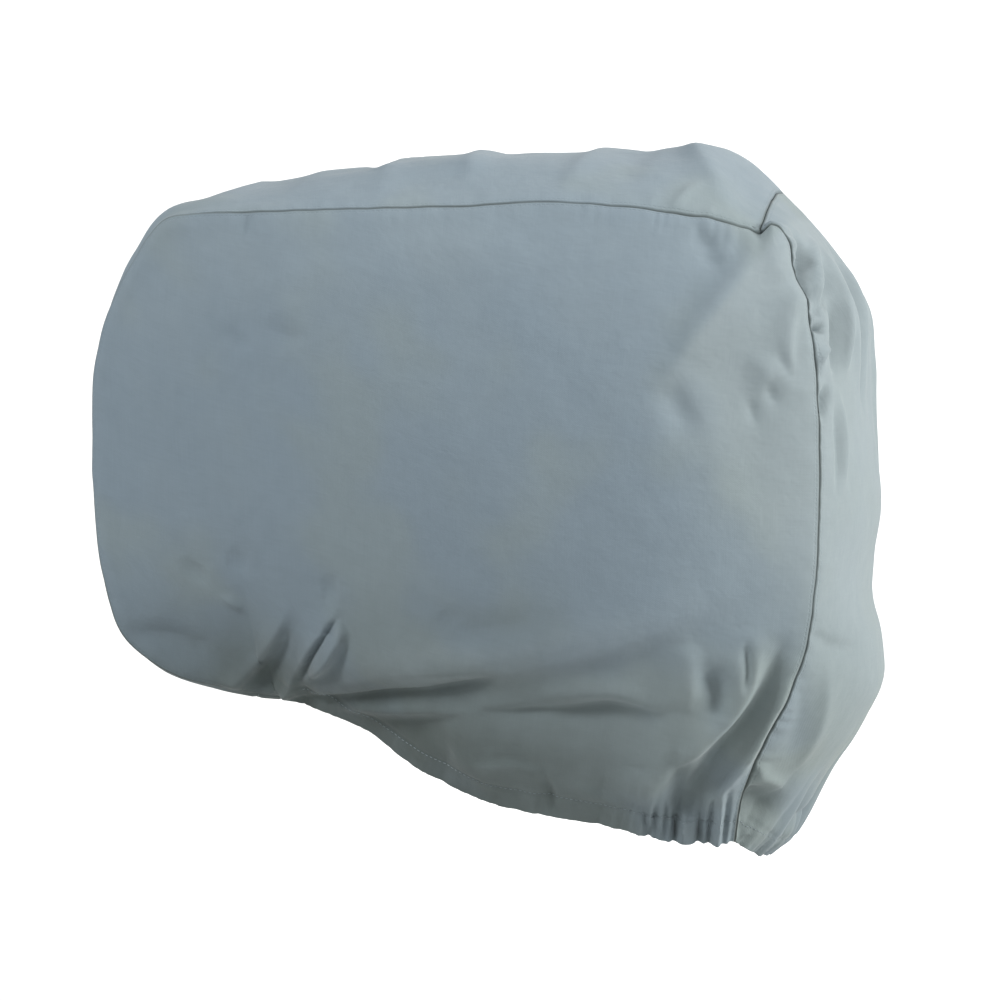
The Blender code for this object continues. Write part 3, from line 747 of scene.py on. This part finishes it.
aftPanel = {
    "node": "aft_strip",
    "flat": (0.44, 0.73),
    "area": 0.28,
    "thread": "aft_hem_stitches",
    "tone": 0.99,
    # reaching higher on the aft strip, as painted shade that darkens it downward
    "hemSoilAndShadeReach": 0.20,
    "seed": 34.0,
    "slack": (0.0012, 0.0005),
    "drawnUp": ((0.0, 0.0), (1.0, 0.0)),
    "pucker": 1.9,
    "gather": ((0.0, 1.4), (0.12, 1.3), (0.24, 1.3)),
    "folds": {
        "pocket": ((-148, -86, -160, -104, -176, -122, -183, -146), 6, 6, -14, 1.3),
        "pocket rim": ((-110, -90, -144, -108, -163, -134, -172, -160), 9, 3.5, 9, 1.4),
        "corner fold": ((-90, -98, -106, -133, -105, -165, -92, -215), 12, 10, 7, 1.6),
        "fold shadow": ((-118, -112, -132, -130, -150, -144, -176, -150), 7, 8, -9, 1.5),
        "second pocket": ((-128, -140, -140, -162, -148, -184, -160, -212), 9, 8, -13, 1.5),
        "second rim": ((-116, -148, -123, -176, -137, -210), 7, 5, 8, 1.5),
        "pinch 1": ((-187, -124, -178, -143), 3, 3, -8, 1.3),
        "pinch 2": ((-192, -171, -170, -172), 3.2, 2.8, -11, 1.2),
        "pinch ridge": ((-172, -187, -192, -203), 4, 4, 8, 1.4),
        "pinch 3": ((-176, -222, -193, -254), 4, 7, -10, 1.4),
        "right fold": ((-26, -104, -54, -136, -66, -176, -66, -240), 8, 9, -8, 1.6),
        "right crest": ((-10, -112, -36, -140, -48, -180, -50, -220), 10, 8, 5, 1.6),
        "narrow fold": ((-154, -235, -149, -270, -153, -312), 5, 7, 6, 1.5),
        "narrow valley": ((-166, -245, -163, -280, -167, -318), 4, 4, -4, 1.4),
        "starboard fold": ((105, -110, 82, -200, 80, -300), 14, 10, 6, 1.6),
        "starboard valley": ((140, -125, 128, -190, 130, -240), 8, 7, -6, 1.5),
        "starboard pocket": ((168, -100, 160, -122, 164, -150), 8, 8, -7, 1.5),
        "middle slack": ((10, -120, -12, -210, 4, -300), 22, 18, 3, 2.0),
        "cross crease": ((-188, -448, -150, -462, -105, -466), 6, 11, -4.5, 1.5),
        "cross hollow": ((-110, -418, 0, -428, 150, -420), 22, 20, -4, 2.0),
        "upper flat": ((-110, -210, 0, -215, 120, -210), 55, 55, -5, 2.0),
        "low knee": ((-110, -500, 0, -506, 110, -500), 24, 26, 6, 1.8),
        "low band": ((-152, -485, -136, -515, -120, -550, -106, -582), 12, 7, 5, 1.4),
        "low band valley": ((-174, -494, -152, -530, -136, -560), 7, 7, -3, 1.6),
        "low fold": ((-162, -570, -136, -585, -108, -597), 4, 8, 7, 1.4),
        "low hollow": ((-144, -594, -124, -608, -96, -626), 10, 12, -13, 1.5),
        "hem puff": ((-112, -634, -70, -648, 0, -655, 90, -645), 14, 12, 3.5, 1.8),
        "hem pinch": ((-128, -624, -115, -650), 4, 4, -6, 1.4),
        "wedge": ((-62, -636, -30, -630, -4, -626), 6, 6, -7, 1.4),
        "low diagonal": ((155, -450, 118, -520, 80, -580), 12, 12, 6, 1.6),
        "low diagonal valley": ((132, -470, 94, -545, 62, -605), 9, 9, -6, 1.5),
        "middle gather": ((5, -690, 0, -630, -4, -570), 8, 10, -8, 1.5),
        "port gather": ((-50, -690, -56, -640, -62, -590), 6, 9, -6, 1.5),
        "starboard gather": ((56, -690, 60, -640, 64, -575), 8, 10, -8, 1.5),
    },
}


# Gathers of three sizes that run up from the elastic, the small ones dying out first: pitch,
# unevenness, height, and the place above the hem. The pinch is where the thread holds the band.
hemGather = {
    "waves": {
        "small": (0.0105, 1.4, 0.0032, 0.0, 0.032),
        "middle": (0.029, 1.2, 0.0048, 0.0, 0.060),
        "large": (0.074, 1.0, 0.0050, 0.03, 0.075),
    },
    "pinch": (-0.0010, 0.0022),
    "pinchShares": (0.6, 0.4),
    "reach": 0.22,
}


def hemGathers(away, along, strength, seed):
    waves = 0
    for k, (pitch, unevenness, height, middle, width) in enumerate(hemGather["waves"].values()):
        waves = waves + gathers(along, pitch, unevenness, seed + k) * height * hump(away, middle, width)
    depth, width = hemGather["pinch"]
    always, gathered = hemGather["pinchShares"]
    return strength * waves + depth * hump(away, sewing["hemBand"], width) * (always + gathered * strength)


# The cloth's slack between its folds, long and short, and where the top's folds give way to the front's.
slackPitch = {"broad": (0.085, 0.070), "small": (0.030, 0.024)}
topToFront = {"height": -0.16, "over": 0.08}


def foldsOn(piece, points):
    x, y, z = points[:, :, 0], points[:, :, 1], points[:, :, 2]
    if "side" in piece["node"]:
        return foldLift(x, z, piece["folds"])
    if "frontFolds" not in piece:
        return foldLift(y, z, piece["folds"])
    onTop = smoothStep((z - topToFront["height"]) / topToFront["over"])
    return onTop * foldLift(x, y, piece["folds"]) + (1 - onTop) * foldLift(y, z, piece["frontFolds"])


# A panel's outer surface with its folds, and the layers that its cloth's pattern reads.
def dress(piece, points, edges):
    names = sorted({edges[place][0] for place in edges if edges[place][2].any()})
    normal = outward(points)
    lift = foldsOn(piece, points)
    away, along, strength, lean, way, moved = nearSeams(points, names)
    seed = piece["seed"]
    run, climb = gridLengths(points)
    for k, (size, pitches) in enumerate(zip(piece["slack"], slackPitch.values())):
        lift += size * noiseField(run, climb, *pitches, seed + k)

    loose = {place: ~edges[place][2] for place in edges}
    if loose["low"].any():
        hem = points[:, 0][loose["low"]]
    else:
        hem = points[0] if loose["start"].any() else points[-1]
    hemAway, hemAlong, _ = nearestOn(points, hem, pathLengths(hem))
    gather = tableAt(hemAlong, piece["gather"])
    reach = hemAway < hemGather["reach"]
    lift[reach] += hemGathers(hemAway[reach], hemAlong[reach], gather[reach], seed + 3)

    lift *= smoothStep(away / sewing["seamFade"])
    rise = away / sewing["puckerPeak"]
    pucker = gathers(along, sewing["puckerPitch"], sewing["puckerUneven"], sewing["puckerSeed"])
    pucker = pucker * strength * sewing["puckerHeight"] * piece["pucker"]
    end, over = sewing["puckerEnd"]
    power, fall = sewing["puckerFall"]
    pucker *= rise**power * np.exp(fall * (1 - rise)) * smoothStep((end - away) / over)
    if "side" in piece["node"]:
        share, middle, width = sewing["sideLift"]
        lift += share * lean * hump(away, middle, width)
    else:
        share, middle, width = sewing["stripSink"]
        lift -= share * lean * hump(away, middle, width)
        share, above, beside = sewing["cornerTuck"]
        lift -= share * lean * hump(hemAway, 0, above) * hump(away, 0, beside)

    # The edge rolls down into the seam, more tightly where the thread is slack.
    always, pulled, most = sewing["rollShares"]
    roll = sewing["seamRoll"] * (always + pulled * np.clip(strength, 0, most))
    drop = roll - np.sqrt(roll**2 - np.clip(roll - away, 0, roll) ** 2)
    depth, width = sewing["seamPull"]
    drop += depth * strength * hump(away, 0, width)
    keep = smoothStep(away / (sewing["rollKeep"] * sewing["seamRoll"]))[:, :, None]
    toward = unit(normal * keep + way * (1 - keep))
    shaped = points + moved + normal * (lift + pucker)[:, :, None]
    fromHem, fromSeam = sewing["drawnUpReach"]
    drawnUp = tableAt(hemAlong, piece["drawnUp"]) * hump(hemAway, 0, fromHem)
    shaped[:, :, 2] += drawnUp * smoothStep(away / fromSeam)
    shaped += toward * (coverForm["solidCloth"] - drop)[:, :, None]
    layers = {
        "seam": np.stack((along, away), axis=2),
        "hem": np.stack((hemAlong, hemAway), axis=2),
        "lift": np.stack((lift + pucker, gather), axis=2),
    }
    sewn = {place: edges[place][2] for place in edges}
    return shaped, outward(shaped), borders(way), sewn, layers


def deselectAll():
    bpy.ops.object.select_all(action="DESELECT")


# The primitive that was just added, under its own name.
def newPiece(name):
    piece = bpy.context.object
    piece.name = piece.data.name = name
    return piece


# A grid takes the places of the panel's points; then the cloth gets its thickness inwards.
def addSheet(name, places, layers):
    rows, columns = places.shape[:2]
    deselectAll()
    bpy.ops.mesh.primitive_grid_add(x_subdivisions=rows - 1, y_subdivisions=columns - 1, calc_uvs=False)
    sheet = newPiece(name)
    mesh = sheet.data
    assert len(mesh.vertices) == rows * columns
    mesh.vertices.foreach_set("co", places.transpose(1, 0, 2).astype(np.float32).ravel())
    corners = np.empty(len(mesh.loops), dtype=np.int32)
    mesh.loops.foreach_get("vertex_index", corners)
    for layerName, values in layers.items():
        layer = mesh.uv_layers.new(name=layerName, do_init=False)
        flat = values.transpose(1, 0, 2).reshape(-1, 2).astype(np.float32)
        layer.data.foreach_set("uv", flat[corners].ravel())
    mesh.uv_layers.active = mesh.uv_layers["weave"]
    mesh.update()
    thicken = sheet.modifiers.new("cloth thickness", "SOLIDIFY")
    thicken.thickness = sewing["cloth"]
    thicken.offset = -1
    bpy.ops.object.modifier_apply(modifier=thicken.name)
    bpy.ops.object.shade_smooth_by_angle(angle=math.radians(sewing["smoothBelow"]))
    return sheet


# Lengths along both directions of the cloth, from its middle, for the weave to follow.
def weaveLayer(places):
    run, climb = gridLengths(places)
    run -= run[len(run) // 2]
    climb -= climb[:, climb.shape[1] // 2][:, None]
    return np.stack((run, climb), axis=2)


def makePanel(piece, points, edges):
    shaped, normal, ways, sewn, layers = dress(piece, points, edges)
    places = closeEdges(shaped, normal, ways, sewn)
    extra = len(sewing["allowance"])
    margins = ((extra, extra), (extra, extra), (0, 0))
    layers = {name: np.pad(values, margins, mode="edge") for name, values in layers.items()}
    layers["weave"] = weaveLayer(places)
    sheet = addSheet(piece["node"].replace("panel", "cloth").replace("strip", "cloth"), places, layers)
    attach(sheet, "root")
    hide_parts(piece["node"])
    print("panel:", sheet.name, sum(len(face.vertices) - 2 for face in sheet.data.polygons), "triangles")
    return sheet, shaped, normal, sewn


# The row of thread along the top of the hem band, one stitch modelled once and copied along it.
hemStitch = {
    "length": 0.0032,
    "pitch": 0.0046,
    "radius": 0.00042,
    "faces": (6, 5),  # round a stitch and along it
    "lift": 0.00022,
    "bow": 0.9,
    "tilt": 0.16,
    "tiltPitch": 0.003,
    "seed": 51.0,
    "endGap": 0.002,
    "lookAhead": 0.001,
    "bareColumns": 14,  # without thread, at a side's chin end, where the cloth turns under
}


def bandLine(shaped, normal, sewn):
    if (~sewn["low"]).any():
        columns, up = shaped[~sewn["low"]], normal[~sewn["low"]]
    elif (~sewn["start"]).any():
        columns, up = shaped.transpose(1, 0, 2), normal.transpose(1, 0, 2)
    else:
        columns, up = shaped[::-1].transpose(1, 0, 2), normal[::-1].transpose(1, 0, 2)
    climbs = [pathLengths(column) for column in columns]
    line = [follow(sewing["hemBand"], climb, column) for climb, column in zip(climbs, columns)]
    lineUp = [follow(sewing["hemBand"], climb, column) for climb, column in zip(climbs, up)]
    return np.array(line), unit(np.array(lineUp))


def makeStitches(piece, shaped, normal, sewn):
    line, lineUp = bandLine(shaped, normal, sewn)
    if "side" in piece["node"]:
        bare = hemStitch["bareColumns"]
        threaded = slice(bare, None) if "port" in piece["node"] else slice(None, -bare)
        line, lineUp = line[threaded], lineUp[threaded]
    arcs = pathLengths(line)
    count = int((arcs[-1] - 2 * hemStitch["endGap"]) / hemStitch["pitch"])
    centres = hemStitch["endGap"] + hemStitch["pitch"] * (np.arange(count) + 0.5)
    place = follow(centres, arcs, line)
    up = unit(follow(centres, arcs, lineUp))
    forward = unit(follow(centres + hemStitch["lookAhead"], arcs, line) - place)
    side = unit(np.cross(up, forward))
    tilt = (hemStitch["tilt"] * noiseLine(centres / hemStitch["tiltPitch"], hemStitch["seed"]))[:, None]
    forward = unit(forward + side * tilt)
    side = unit(np.cross(up, forward))
    deselectAll()
    around, rings = hemStitch["faces"]
    bpy.ops.mesh.primitive_uv_sphere_add(segments=around, ring_count=rings, radius=1)
    stitches = newPiece(piece["thread"])
    single = np.array([vertex.co[:] for vertex in stitches.data.vertices])
    faces = sorted(tuple(face.vertices) for face in stitches.data.polygons)  # in one order on every run
    long = single[:, 2:3] * hemStitch["length"] / 2
    bowed = single[:, 0:1] - hemStitch["bow"] * single[:, 2:3] ** 2
    bowed = bowed * hemStitch["radius"] + hemStitch["lift"]
    wide = single[:, 1:2] * hemStitch["radius"]
    spots = place[:, None] + forward[:, None] * long + up[:, None] * bowed + side[:, None] * wide
    copies = [tuple(k * len(single) + corner for corner in face) for k in range(count) for face in faces]
    stitches.data.clear_geometry()
    stitches.data.from_pydata(spots.reshape(-1, 3).tolist(), [], copies)
    stitches.data.update()
    bpy.ops.object.shade_smooth()
    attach(stitches, "root")
    return stitches


# A socket that takes Python arithmetic, and the one way in which every other node is added.
class Shade:
    def __init__(self, tree, socket=None):
        self.tree = tree
        self.socket = socket

    def node(self, kind, settings, inputs, output=0):
        made = self.tree.nodes.new(kind)
        for name, value in settings.items():
            setattr(made, name, value)
        for name, value in inputs.items():
            if isinstance(value, Shade):
                self.tree.links.new(value.socket, made.inputs[name])
            else:
                made.inputs[name].default_value = value
        return Shade(self.tree, made.outputs[output])

    # Another output of the node that this socket is on.
    def sibling(self, output):
        return Shade(self.tree, self.socket.node.outputs[output])

    def into(self, shader, name):
        self.tree.links.new(self.socket, shader.inputs[name])

    def maths(self, operation, first, second=0.0):
        return self.node("ShaderNodeMath", {"operation": operation}, {0: first, 1: second})

    def __add__(self, other):
        return self.maths("ADD", self, other)

    def __radd__(self, other):
        return self.maths("ADD", other, self)

    def __sub__(self, other):
        return self.maths("SUBTRACT", self, other)

    def __rsub__(self, other):
        return self.maths("SUBTRACT", other, self)

    def __mul__(self, other):
        return self.maths("MULTIPLY", self, other)

    def __rmul__(self, other):
        return self.maths("MULTIPLY", other, self)

    def wave(self):
        return self.maths("SINE", self)

    # 0 at low, 1 at high, eased between them, whichever of the two is the larger.
    def between(self, low, high):
        settings = {"interpolation_type": "SMOOTHSTEP"}
        return self.node("ShaderNodeMapRange", settings, {"Value": self, "From Min": low, "From Max": high})

    def mix(self, factor, first, second, blend="MIX"):
        settings = {"data_type": "RGBA", "blend_type": blend, "clamp_factor": True}
        return self.node("ShaderNodeMix", settings, {0: factor, 6: first, 7: second}, 2)


def linear(red, green, blue):
    return (*Color((red / 255, green / 255, blue / 255)).from_srgb_to_scene_linear(), 1)


def setInputs(node, values):
    for name, value in values.items():
        node.inputs[name].default_value = value


def newMaterial(name):
    material = bpy.data.materials.new(name)
    material.use_nodes = True
    return material, material.node_tree.nodes["Principled BSDF"], Shade(material.node_tree)


# The cloth: a plain weave of solution-dyed polyester, dull, a little faded on top and dirty at the hem;
# painted light makes the aft part paler and greener, painted bounce light greens it low down, painted
# shade darkens it low at the fore end, up from the hem, in the seams and in the fold valleys, and painted
# highlights lighten the fold crests.
# Lengths are in metres, and ahead and height are the places along x and z.
clothFinish = {
    "dyed": (125, 140, 150),
    # faded by the sun on top and in patches, and paler still on the aft part: painted light from aft
    "fadedAndLit": (141, 153, 157),
    # a greener tinge, also the painted tint of light from aft and of light bounced from below
    "tingedAndLit": (132, 144, 143),
    # dirt, and painted shade
    "soiledAndShaded": (82, 91, 88),
    # painted highlight on the fold crests
    "crestHighlightColour": (156, 166, 170),
    "grainTint": (0.72, 0.73, 0.74, 1),
    "roughness": (0.80, 0.92),
    "roughShares": (0.6, 0.4),
    "fixed": {"Sheen Weight": 0.12, "Sheen Roughness": 0.5, "Specular IOR Level": 0.35},
    "yarnPitch": 0.00085,
    "stitchPitch": 0.0044,
    "cloudRough": 0.55,
    # Each noise: scale, stretch along the cloth and up it, detail, and where in the noise it starts.
    "clouds": {
        "warpSlub": (1, (900, 22, 1), 2, 3.0),
        "weftSlub": (1, (22, 900, 1), 2, 9.0),
        "patches": (9, (1, 1, 1), 4, 17.0),
        "mottle": (60, (1, 1, 1), 3, 25.0),
        "tinge": (5, (1, 1, 1), 2, 63.0),
        "crumple": (26, (1, 1, 1), 3, 41.0),
        "fine": (95, (1, 1.3, 1), 2, 47.0),
    },
    # Each mask: where it is 0, where it is 1, and how strong it is there.
    "masks": {
        "topBleach": (-0.30, -0.02, 0.25),
        # the aft shoulder and the upper aft strip, where light from aft is painted in
        "shoulderFront": (0.350, 0.366, 1.0),
        "shoulderTop": (0.0, 0.13, 0.8),
        # painted shade, low down toward the fore end, where the cloth faces down
        "lowPaintedShade": (-0.33, -0.52, 1.0),
        "forePaintedShade": (0.30, 0.04, 0.50),
        # painted shade in the seam grooves
        "seamShade": (0.0034, 0.0010, 0.52),
        # painted shade, and dust, in the fold valleys
        "valleyShadeAndDust": (-0.001, -0.012, 0.16),
        "tingePatch": (0.45, 0.62, 0.45),
        # the painted tint of light from aft on the aft part and the aft strip, then of bounced light low
        # down
        "aftPaintedLight": (0.14, 0.28, 0.25),
        "aftStripPaintedLight": (0.30, 0.34, 0.35),
        "lowPaintedBounce": (-0.36, -0.56, 0.15),
        # painted highlight on the fold crests, by their height
        "crestHighlight": (0.002, 0.010, 0.10),
        "rowOuter": (0.0052, 0.0044, 1.0),
        "rowInner": (0.0030, 0.0038, 1.0),
        "stitch": (-0.55, -0.2, 1.0),
        "shade": (0.0, 0.5, 1.0),
    },
    # dirt and painted shade up from the hem: where it is full, and how strong
    "hemSoilAndShade": (0.01, 0.24),
    "shoulderSlopes": (0.75, 0.6),
    "patchBleach": 0.5,
    "soilAndShadePatches": (0.55, 0.9),
    "crestHighlightPatches": (0.6, 0.8),
    "grain": {"slub": 0.07, "mottle": 0.10, "yarns": 0.012, "middle": 0.22},
    "relief": {"crumple": 0.0012, "fine": 0.00022, "yarns": 0.00004, "slub": 0.00005, "stitches": 0.00025},
}


def clothMaterial(piece):
    look, seed, tone = clothFinish, piece["seed"], piece["tone"]
    material, shader, start = newMaterial(piece["node"] + "_weave")

    def layer(which):
        place = start.node("ShaderNodeUVMap", {"uv_map": which}, {})
        along = start.node("ShaderNodeSeparateXYZ", {}, {"Vector": place})
        return place, along, along.sibling(1)

    weavePlace, warp, weft = layer("weave")
    _, seamAlong, seamAway = layer("seam")
    _, _, hemAway = layer("hem")
    _, raised, _ = layer("lift")

    def cloud(which):
        scale, stretch, detail, shift = look["clouds"][which]
        settings = {"Vector": weavePlace, "Scale": stretch, "Location": (shift + seed, seed, 0)}
        spread = start.node("ShaderNodeMapping", {}, settings)
        inputs = {"Vector": spread, "Scale": scale, "Detail": detail, "Roughness": look["cloudRough"]}
        return start.node("ShaderNodeTexNoise", {"noise_dimensions": "2D"}, inputs)

    def mask(which, source):
        none, full, strength = look["masks"][which]
        return source.between(none, full) * strength

    def toned(which):
        return tuple(channel * tone for channel in linear(*look[which])[:3]) + (1,)

    spatial = start.node("ShaderNodeTexCoord", {}, {}, 3)
    ahead = start.node("ShaderNodeSeparateXYZ", {}, {"Vector": spatial})
    height = ahead.sibling(2)

    # Yarns over and under, and slubs: yarns a little thicker or paler for a few centimetres.
    turn = math.pi / look["yarnPitch"]
    yarns = (warp * turn).wave() * (weft * turn).wave()
    warpSlub, weftSlub, patches, mottle = map(cloud, ("warpSlub", "weftSlub", "patches", "mottle"))

    # Thread dimples beside the seams.
    seamRow = mask("rowOuter", seamAway) * mask("rowInner", seamAway)
    seamThread = mask("stitch", (seamAlong * (2 * math.pi / look["stitchPitch"])).wave()) * seamRow

    # Paler where the sun faded the top and in patches, and on the aft shoulder and down the aft strip, where
    # painted light from aft stands in for the lamp.
    frontSlope, topSlope = look["shoulderSlopes"]
    shoulder = mask("shoulderFront", ahead - height * frontSlope)
    shoulder = shoulder * mask("shoulderTop", ahead + height * topSlope)
    fadeAndPaintedLight = mask("topBleach", height) + shoulder + (patches - 0.5) * look["patchBleach"]
    # Painted shade: darker low down toward the fore end.
    paintedLowShade = mask("lowPaintedShade", height) * mask("forePaintedShade", ahead)
    # Darker in one colour that stands for dirt and for painted shade: painted shade in the seam grooves,
    # painted shade and dust in the fold valleys, painted shade low at the fore end, and dirt with painted
    # shade up from the hem.
    hemNear, hemStrength = look["hemSoilAndShade"]
    soilAndShade = mask("seamShade", seamAway) + hemAway.between(piece["hemSoilAndShadeReach"], hemNear) * hemStrength
    soilAndShade = soilAndShade + paintedLowShade + mask("valleyShadeAndDust", raised)
    even, patchy = look["soilAndShadePatches"]
    soilAndShade = (soilAndShade * (even + patches * patchy)).between(0.0, 1.0)
    # A greener, paler tinge: in random patches, and toward the aft and low down, where it is the painted
    # tint of light from aft and of light bounced up from below.
    tinge = mask("tingePatch", cloud("tinge")) + mask("aftPaintedLight", ahead)
    tinge = (tinge + mask("aftStripPaintedLight", ahead) + mask("lowPaintedBounce", height)).between(0.0, 1.0)
    # Painted highlight: paler on the fold crests, in patches.
    even, patchy = look["crestHighlightPatches"]
    crestHighlight = mask("crestHighlight", raised) * (even + mottle * patchy)

    colour = start.mix(tinge, toned("dyed"), toned("tingedAndLit"))
    colour = start.mix(fadeAndPaintedLight, colour, toned("fadedAndLit"))
    colour = start.mix(soilAndShade, colour, linear(*look["soiledAndShaded"]))
    colour = start.mix(crestHighlight, colour, linear(*look["crestHighlightColour"]))
    grain = look["grain"]
    pale = (warpSlub - 0.5) * grain["slub"] + (weftSlub - 0.5) * grain["slub"]
    pale = pale + (mottle - 0.5) * grain["mottle"] + yarns * grain["yarns"]
    colour = start.mix(mask("shade", grain["middle"] - pale), colour, look["grainTint"], "MULTIPLY")
    colour.into(shader, "Base Color")

    smooth, dull = look["roughness"]
    mottled, soiledAndShaded = look["roughShares"]
    rough = smooth + (dull - smooth) * (mottle * mottled + soilAndShade * soiledAndShaded)
    rough.into(shader, "Roughness")
    setInputs(shader, look["fixed"])

    # Relief in metres: crumples, yarns, slubs and stitch holes.
    relief = look["relief"]
    ridges = cloud("crumple") * relief["crumple"] + cloud("fine") * relief["fine"] + yarns * relief["yarns"]
    ridges = ridges + (warpSlub + weftSlub) * relief["slub"] - seamThread * relief["stitches"]
    bump = {"Strength": 1.0, "Distance": 1.0, "Height": ridges}
    start.node("ShaderNodeBump", {}, bump).into(shader, "Normal")
    return material


threadFinish = {
    "dark": (100, 112, 117),
    "pale": (140, 150, 155),
    "plyScale": 2600.0,
    "roughness": (0.45, 0.25),
    "bump": {"Strength": 0.6, "Distance": 0.0002},
}


def threadMaterial():
    material, shader, start = newMaterial("hem thread")
    look = threadFinish
    place = start.node("ShaderNodeTexCoord", {}, {}, 3)
    plies = start.node("ShaderNodeTexNoise", {}, {"Vector": place, "Scale": look["plyScale"], "Detail": 1.0})
    colour = start.mix(plies, linear(*look["dark"]), linear(*look["pale"]))
    colour.into(shader, "Base Color")
    smooth, spread = look["roughness"]
    (smooth + plies * spread).into(shader, "Roughness")
    start.node("ShaderNodeBump", {}, look["bump"] | {"Height": plies}).into(shader, "Normal")
    return material


hemThread = threadMaterial()
made = []
for piece, form in zip((portPanel, starboardPanel, frontAndTopPanel, aftPanel), panels.values()):
    sheet, shaped, normal, sewn = makePanel(piece, *form)
    sheet.data.materials.append(clothMaterial(piece))
    stitches = makeStitches(piece, shaped, normal, sewn)
    stitches.data.materials.append(hemThread)
    made.append((piece, sheet, stitches))
for piece, sheet, stitches in made:
    others = [other for _, other, _ in made if other != sheet]
print("hem stitched")

# Studio: a pale floor that curves up into the backdrop, a soft light from ahead on the port side, a
# larger one from aft, a weak one from above, and one for the backdrop. A light is its place, size,
# power, tint and target. The floor runs along y.
studio = {
    "floorHeight": -1.05,
    "floorHalfWidth": 12,
    "floorEnd": -9.0,
    "sweepStart": 6.0,
    "sweepRadius": 2.5,
    "sweepSteps": 12,
    "wallTop": 8.0,
    "paint": {"Base Color": (0.66, 0.66, 0.655, 1), "Roughness": 0.9},
    "air": {"Color": (1, 1, 1, 1), "Strength": 0.30},
    "light": {
        "key": ((-1.75, -2.5, 2.2), 0.9, 106.0, (0.97, 0.985, 1.0), (0, 0, -0.3)),
        "aft": ((3.2, -0.6, 0.8), 1.5, 134.0, (1.0, 0.985, 0.965), (0, 0, -0.3)),
        "top": ((0.3, 0.3, 2.6), 1.8, 12.0, (0.98, 0.99, 1.0), (0, 0, -0.3)),
        "backdrop": ((0.0, 3.2, 3.6), 4.0, 620.0, (1.0, 1.0, 1.0), (0, 8.5, 0.0)),
    },
    "cameraPlace": (0.6429, -4.3731, -0.18),
    "aim": (0.012, 0.0, -0.335),
    "lens": 166.0,
    "sensor": 36,
}


def addToScene(name, data, place, target):
    holder = bpy.data.objects.new(name, data)
    bpy.context.scene.collection.objects.link(holder)
    holder.location = place
    holder.rotation_euler = (Vector(target) - Vector(place)).to_track_quat("-Z", "Y").to_euler()
    return holder


def makeFloor():
    deselectAll()
    bpy.ops.mesh.primitive_plane_add(size=1)
    floor = newPiece("studio_floor")
    start, radius, steps = studio["sweepStart"], studio["sweepRadius"], studio["sweepSteps"]
    angles = [math.pi / 2 * k / steps for k in range(steps + 1)]
    sweep = [(start + radius * math.sin(angle), radius - radius * math.cos(angle)) for angle in angles]
    profile = [(studio["floorEnd"], 0.0)] + sweep + [(start + radius, studio["wallTop"])]
    half, height = studio["floorHalfWidth"], studio["floorHeight"]
    verts = [(x, y, height + z) for y, z in profile for x in (-half, half)]
    faces = [(2 * k, 2 * k + 1, 2 * k + 3, 2 * k + 2) for k in range(len(profile) - 1)]
    floor.data.clear_geometry()
    floor.data.from_pydata(verts, [], faces)
    floor.data.update()
    bpy.ops.object.shade_smooth()
    paint, shader, _ = newMaterial("studio white")
    setInputs(shader, studio["paint"])
    floor.data.materials.append(paint)


def makeStudio():
    makeFloor()
    for name, (place, size, power, tint, target) in studio["light"].items():
        lamp = bpy.data.lights.new(name + "_light", "AREA")
        lamp.shape = "SQUARE"
        lamp.size = size
        lamp.energy = power
        lamp.color = tint
        addToScene(name + "_light", lamp, place, target)

    world = bpy.data.worlds.new("studio air")
    world.use_nodes = True
    setInputs(world.node_tree.nodes["Background"], studio["air"])
    bpy.context.scene.world = world

    lens = bpy.data.cameras.new("camera")
    lens.lens = studio["lens"]
    lens.sensor_width = studio["sensor"]
    bpy.context.scene.camera = addToScene("camera", lens, studio["cameraPlace"], studio["aim"])
    bpy.context.scene.view_settings.view_transform = "Standard"


makeStudio()
print("studio lit")
